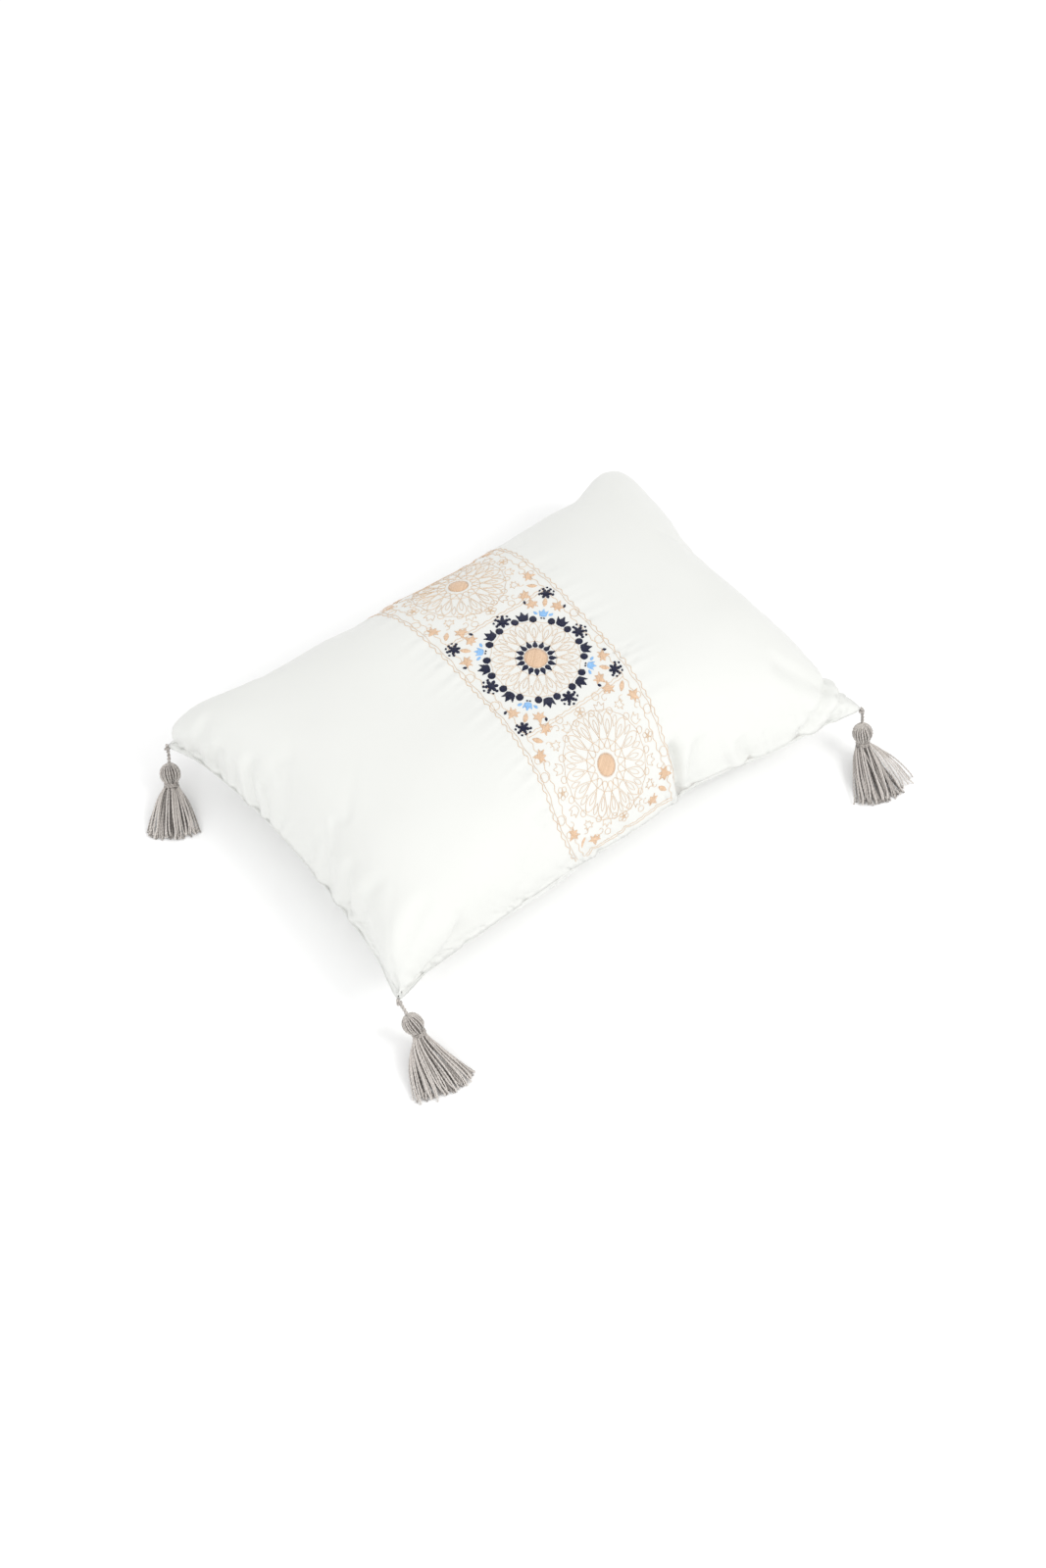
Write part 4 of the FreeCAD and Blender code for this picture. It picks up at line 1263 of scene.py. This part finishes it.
def makeCoil(name, node, side):
    low, high = (np.array(corner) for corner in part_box(node))
    middle = (low + high) / 2
    turns = (high[0] - low[0]) / zipper["coilPitch"]
    t = np.linspace(0, 1, int(turns * 10))
    angle = 2 * math.pi * turns * t * side
    radius = zipper["coilRadius"] - zipper["coilWire"]
    line = np.stack([low[0] + (high[0] - low[0]) * t, middle[1] + radius * np.cos(angle),
                     middle[2] + radius * np.sin(angle)], -1)
    tangent = unit(np.gradient(line, axis=0))
    outward = np.stack([0 * t, np.cos(angle), np.sin(angle)], -1)
    beside = unit(np.cross(outward, tangent))
    strands = Strands(5)
    strands.add(line, beside, unit(np.cross(tangent, beside)), zipper["coilWire"],
                zipper["coilWire"], 0, 0.4)
    core = np.stack([np.linspace(low[0], high[0], 60), np.full(60, middle[1]),
                     np.full(60, middle[2])], -1)
    across = np.tile([0.0, 1.0, 0.0], (60, 1))
    upward = np.tile([0.0, 0.0, 1.0], (60, 1))
    strands.add(core, -across, upward, radius * 0.75, radius * 0.75, 0, 0.9)
    piece = strands.piece(name, ["coilPlastic"])
    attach(piece, "cushion")
    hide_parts(node)


makeCoil("zipCoilUpper", "zipper_coil_upper", 1)
makeCoil("zipCoilLower", "zipper_coil_lower", -1)


def dressNode(node, finishName):
    piece = bpy.data.objects[node]
    piece.data.materials.clear()
    piece.data.materials.append(finishes[finishName])


for node in ("zipper_slider", "zipper_pull", "zipper_stops"):
    dressNode(node, "zipMetal")
for node in ("zipper_tape_upper", "zipper_tape_lower"):
    dressNode(node, "tapeWeave")
print("stage: zip")


# tassels: a two-ply hanging cord, a ball of folded strands, a binding and the cut strands

tassel = {
    "gap": 0.4 * mm,
    "cordLength": 14.0 * mm,
    "cordPly": 0.98 * mm,
    "cordTwist": 3.4 * mm,     # length of one full twist
    "headRadius": 8.9 * mm,
    "headHalf": 8.3 * mm,
    "headStrands": 22,
    "neckRadius": 6.1 * mm,
    "neckLength": 3.6 * mm,
    "neckTurns": 3,
    "strands": 72,
    "yarnPly": 0.47 * mm,
    "yarnTwist": 3.0 * mm,
    "skirtRun": 50.0 * mm,
    "skirtHeight": 13.0 * mm,
    "skirtFloor": 0.8 * mm,    # floor to the middle of the lowest strands
    "spreadStep": 0.618,       # spreads the strands evenly over the fan
    "strandPoints": 22,
    "strandWave": 1.2 * mm,
    "strandCurl": 2.2 * mm,
    "strandTipUp": 1.6 * mm,
    "openPower": 0.6,          # how soon the fan opens
    "dropPower": 1.7,          # how soon the strands reach the floor
    "step": 1.1 * mm,
    "yaw": {"left": 0, "near": 18, "right": 0, "far": 0},      # degrees about upright
}


def plied(strands, line, ply, twist, phase, tint, tips=1.0):
    # two strands twisted round each other along a line
    line = resampled(line, tassel["step"])
    tangent = unit(np.gradient(line, axis=0))
    helper = np.array([0.31, 0.17, 0.94])
    beside = unit(np.cross(tangent, helper))
    up = np.cross(tangent, beside)
    run = np.concatenate([[0], np.linalg.norm(np.diff(line, axis=0), axis=-1).cumsum()])
    for half in (0, math.pi):
        angle = 2 * math.pi * run / twist + phase + half
        offset = (np.cos(angle)[:, None] * beside + np.sin(angle)[:, None] * up) * ply * 0.9
        path = line + offset
        along = unit(np.gradient(path, axis=0))
        side = unit(np.cross(along, helper))
        taper = np.ones(len(path))
        taper[-1] = tips
        # one ply is painted lighter and the other darker than the strand's tint: partly a
        # difference in tone between the plies, partly painted shade that sets them apart
        strands.add(path, side, np.cross(along, side) * -1, ply * taper, ply * taper, 0,
                    np.clip(tint + (0.17 if half else -0.17), 0, 1))


class TasselFrame:
    # the corner tip, the line that the cord and head hang along, and the way to its side
    def __init__(self, name):
        self.tip = tipOf(name)
        turn = np.array(joints[f"tassel_{name}_turn"]["pos_m"])
        self.down = unit(turn - self.tip)
        yaw = math.radians(tassel["yaw"][name])
        flat = unit(np.array([self.down[0], self.down[1], 0.0]))
        flat = np.array([flat[0] * math.cos(yaw) - flat[1] * math.sin(yaw),
                         flat[0] * math.sin(yaw) + flat[1] * math.cos(yaw), 0.0])
        level = math.hypot(self.down[0], self.down[1])
        self.forward = flat
        self.down = unit(np.array([flat[0] * level, flat[1] * level, self.down[2]]))
        self.side = np.array([-self.forward[1], self.forward[0], 0.0])
        self.rise = np.cross(self.side, self.down)

    def along(self, distance, offSide=0.0, offRise=0.0):
        return self.tip + self.down * distance + self.side * offSide + self.rise * offRise


headStart = tassel["cordLength"] + 2 * tassel["gap"]
neckStart = headStart + 2 * tassel["headHalf"] + tassel["gap"]
neckStop = neckStart + tassel["neckLength"]


def makeCord(name, place, rng):
    strands = Strands(6)
    count = 24
    t = np.linspace(-0.10, 1, count)
    sway = 0.5 * mm * np.sin(math.pi * t)
    line = np.array([place.along(d * (tassel["cordLength"] + 0.8 * mm), s)
                     for d, s in zip(t, sway)])
    plied(strands, line, tassel["cordPly"], tassel["cordTwist"], rng.uniform(0, 6), 0.35)
    knot = tassel["cordPly"] * 1.9
    t = np.linspace(0, 2 * math.pi * 1.9, 40)      # the knot where the cord meets the corner
    ring = np.array([place.along(1.7 * mm + 0.5 * mm * a / 6, knot * math.cos(a),
                                 knot * math.sin(a)) for a in t])
    plied(strands, ring, tassel["cordPly"] * 0.62, tassel["cordTwist"], 0.0, 0.5)
    return strands.piece(f"tassel_{name}_cordPlies", ["tasselYarn"])


def headProfile(share):
    # radius of the ball at a share of its length, rounder at the top than at the binding
    ball = math.sqrt(max(0.0, 1 - (2 * share - 1) ** 2))
    low = 0.62 if share > 0.5 else 0.16
    return tassel["headRadius"] * max(ball ** 0.9, low)


def makeHead(name, place, rng):
    strands = Strands(6)
    length = 2 * tassel["headHalf"] + tassel["gap"] + 1.0 * mm
    shares = np.linspace(0.0, 1.0, 26)
    for k in range(tassel["headStrands"]):
        angle = 2 * math.pi * k / tassel["headStrands"] + rng.uniform(-0.04, 0.04)
        lean = rng.uniform(-0.10, 0.10)
        lift = rng.uniform(-0.5, 0.25) * mm
        line = []
        for share in shares:
            radius = headProfile(share) + lift * math.sin(math.pi * share) - 0.5 * mm
            spin = angle + lean * share + 0.25 * share
            line.append(place.along(headStart + share * length, radius * math.cos(spin),
                                    radius * math.sin(spin)))
        plied(strands, np.array(line), tassel["yarnPly"] * 0.95, tassel["yarnTwist"],
              rng.uniform(0, 6), rng.uniform(0.0, 0.55))
    # a core under the head's strands, given the darkest tint: painted shade that shows in the gaps
    # between them
    core = np.array([place.along(headStart + 0.6 * mm + share * (length - 1.2 * mm))
                     for share in shares])
    radii = np.array([max(headProfile(share) - 1.3 * mm, 0.4 * mm) for share in shares])
    strands.add(core, np.tile(-place.side, (len(core), 1)), np.tile(place.rise, (len(core), 1)),
                radii, radii, 0, 1.0)
    return strands.piece(f"tassel_{name}_headStrands", ["tasselYarn"])


def makeNeck(name, place, rng):
    strands = Strands(6)
    turns = tassel["neckTurns"]
    t = np.linspace(0, 1, turns * 36)
    angle = 2 * math.pi * turns * t
    radius = tassel["neckRadius"] - 0.65 * mm + 0.25 * mm * np.sin(angle * 0.37)
    line = np.array([place.along(neckStart + 0.3 * mm + a * (tassel["neckLength"] - 0.8 * mm),
                                 r * math.cos(b), r * math.sin(b))
                     for a, b, r in zip(t, angle, radius)])
    # the binding's tint of 0.5, darker than the head's strands, is painted shade that makes it look
    # set in below the ball
    plied(strands, line, tassel["yarnPly"] * 0.85, tassel["yarnTwist"], 0.0, 0.5)
    return strands.piece(f"tassel_{name}_neckBinding", ["tasselYarn"])


skirtLooks = {
    # length against the rest, half angle, lean; loose bundle: share, turn; degrees
    "left": (0.90, 29, -4, 0.0, 0),
    "near": (1.03, 33, -23, 0.0, 0),
    "right": (0.98, 22, 0, 0.30, 30),
    "far": (1.0, 28, 0, 0.0, 0),
}


def makeSkirt(name, place, rng):
    strands = Strands(5)
    runShare, halfAngle, lean, looseShare, looseTurn = skirtLooks[name]
    neckEnd = place.along(neckStop)
    floorZ = tassel["skirtFloor"]
    bundle = tassel["neckRadius"] - 0.4 * mm
    for k in range(tassel["strands"]):
        across = -1 + 2 * (k * tassel["spreadStep"] % 1.0)
        rise = math.sqrt(1 - across * across) * rng.uniform(-1, 1)
        startSide = bundle * across
        startRise = bundle * rise
        loose = rng.uniform() < looseShare
        turn = (across + rng.uniform(-0.08, 0.08)) * halfAngle + lean
        turn = math.radians(turn + loose * looseTurn * rng.uniform(0.6, 1.1))
        layer = np.clip(0.5 + 0.5 * rise, 0, 1)
        run = tassel["skirtRun"] * runShare * rng.uniform(0.93, 1.04)
        wave = rng.uniform(-1, 1) * tassel["strandWave"]
        curl = rng.uniform(-1, 1) * tassel["strandCurl"]
        tipUp = rng.uniform(-0.3, 1.0) * tassel["strandTipUp"]
        line = [place.along(neckStart - 0.5 * mm, startSide, startRise),
                place.along((neckStart + neckStop) / 2, startSide, startRise)]
        for share in np.linspace(0.0, 1.0, tassel["strandPoints"]):
            opened = share ** tassel["openPower"]
            ahead = run * math.cos(turn) * share
            side = startSide * (1 - opened) + run * math.sin(turn) * opened
            side += wave * math.sin(math.pi * 2 * share + k) * share
            side += curl * max(0.0, share - 0.9) * 10 * share
            ease = (1 - share) ** tassel["dropPower"]
            drop = neckEnd[2] - floorZ
            crown = tassel["skirtHeight"] * layer * math.sin(math.pi * (0.5 + 0.5 * share)) ** 0.6
            z = floorZ + drop * ease * (0.5 + 0.5 * layer) + crown * (1 - ease) * 0.9
            z += startRise * (1 - opened) * 0.9 + 0.3 * mm * math.sin(9 * share + k)
            z += tipUp * max(0.0, share - 0.88) * 8
            spot = neckEnd + place.forward * (ahead - 0.4 * startRise * (1 - opened))
            spot = spot + place.side * side
            line.append(np.array([spot[0], spot[1], max(z, floorZ)]))
        line = smoothed(np.array(line))
        # strands low in the bundle get dark tints and those on top light ones, with a random
        # spread: painted shade between and under the strands
        tint = np.clip(1.6 - 2.2 * layer + rng.uniform(-0.35, 0.35), 0, 1)
        plied(strands, line, tassel["yarnPly"] * rng.uniform(0.92, 1.1), tassel["yarnTwist"],
              rng.uniform(0, 6), tint, 1.35)
    return strands.piece(f"tassel_{name}_skirtStrands", ["tasselYarn"])


def smoothed(line):
    for _ in range(2):
        line[2:-1] = (line[1:-2] + 2 * line[2:-1] + line[3:]) / 4
    return line


for index, name in enumerate(cornerSides):
    place = TasselFrame(name)
    tasselRng = np.random.default_rng(200 + index)
    for maker, node, body in ((makeCord, "cord", f"tassel_{name}_hang"),
                              (makeHead, "head", f"tassel_{name}"),
                              (makeNeck, "neck", f"tassel_{name}"),
                              (makeSkirt, "skirt", f"tassel_{name}")):
        piece = maker(name, place, tasselRng)
        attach(piece, body)
        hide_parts(f"tassel_{name}_{node}")
print("stage: tassels")
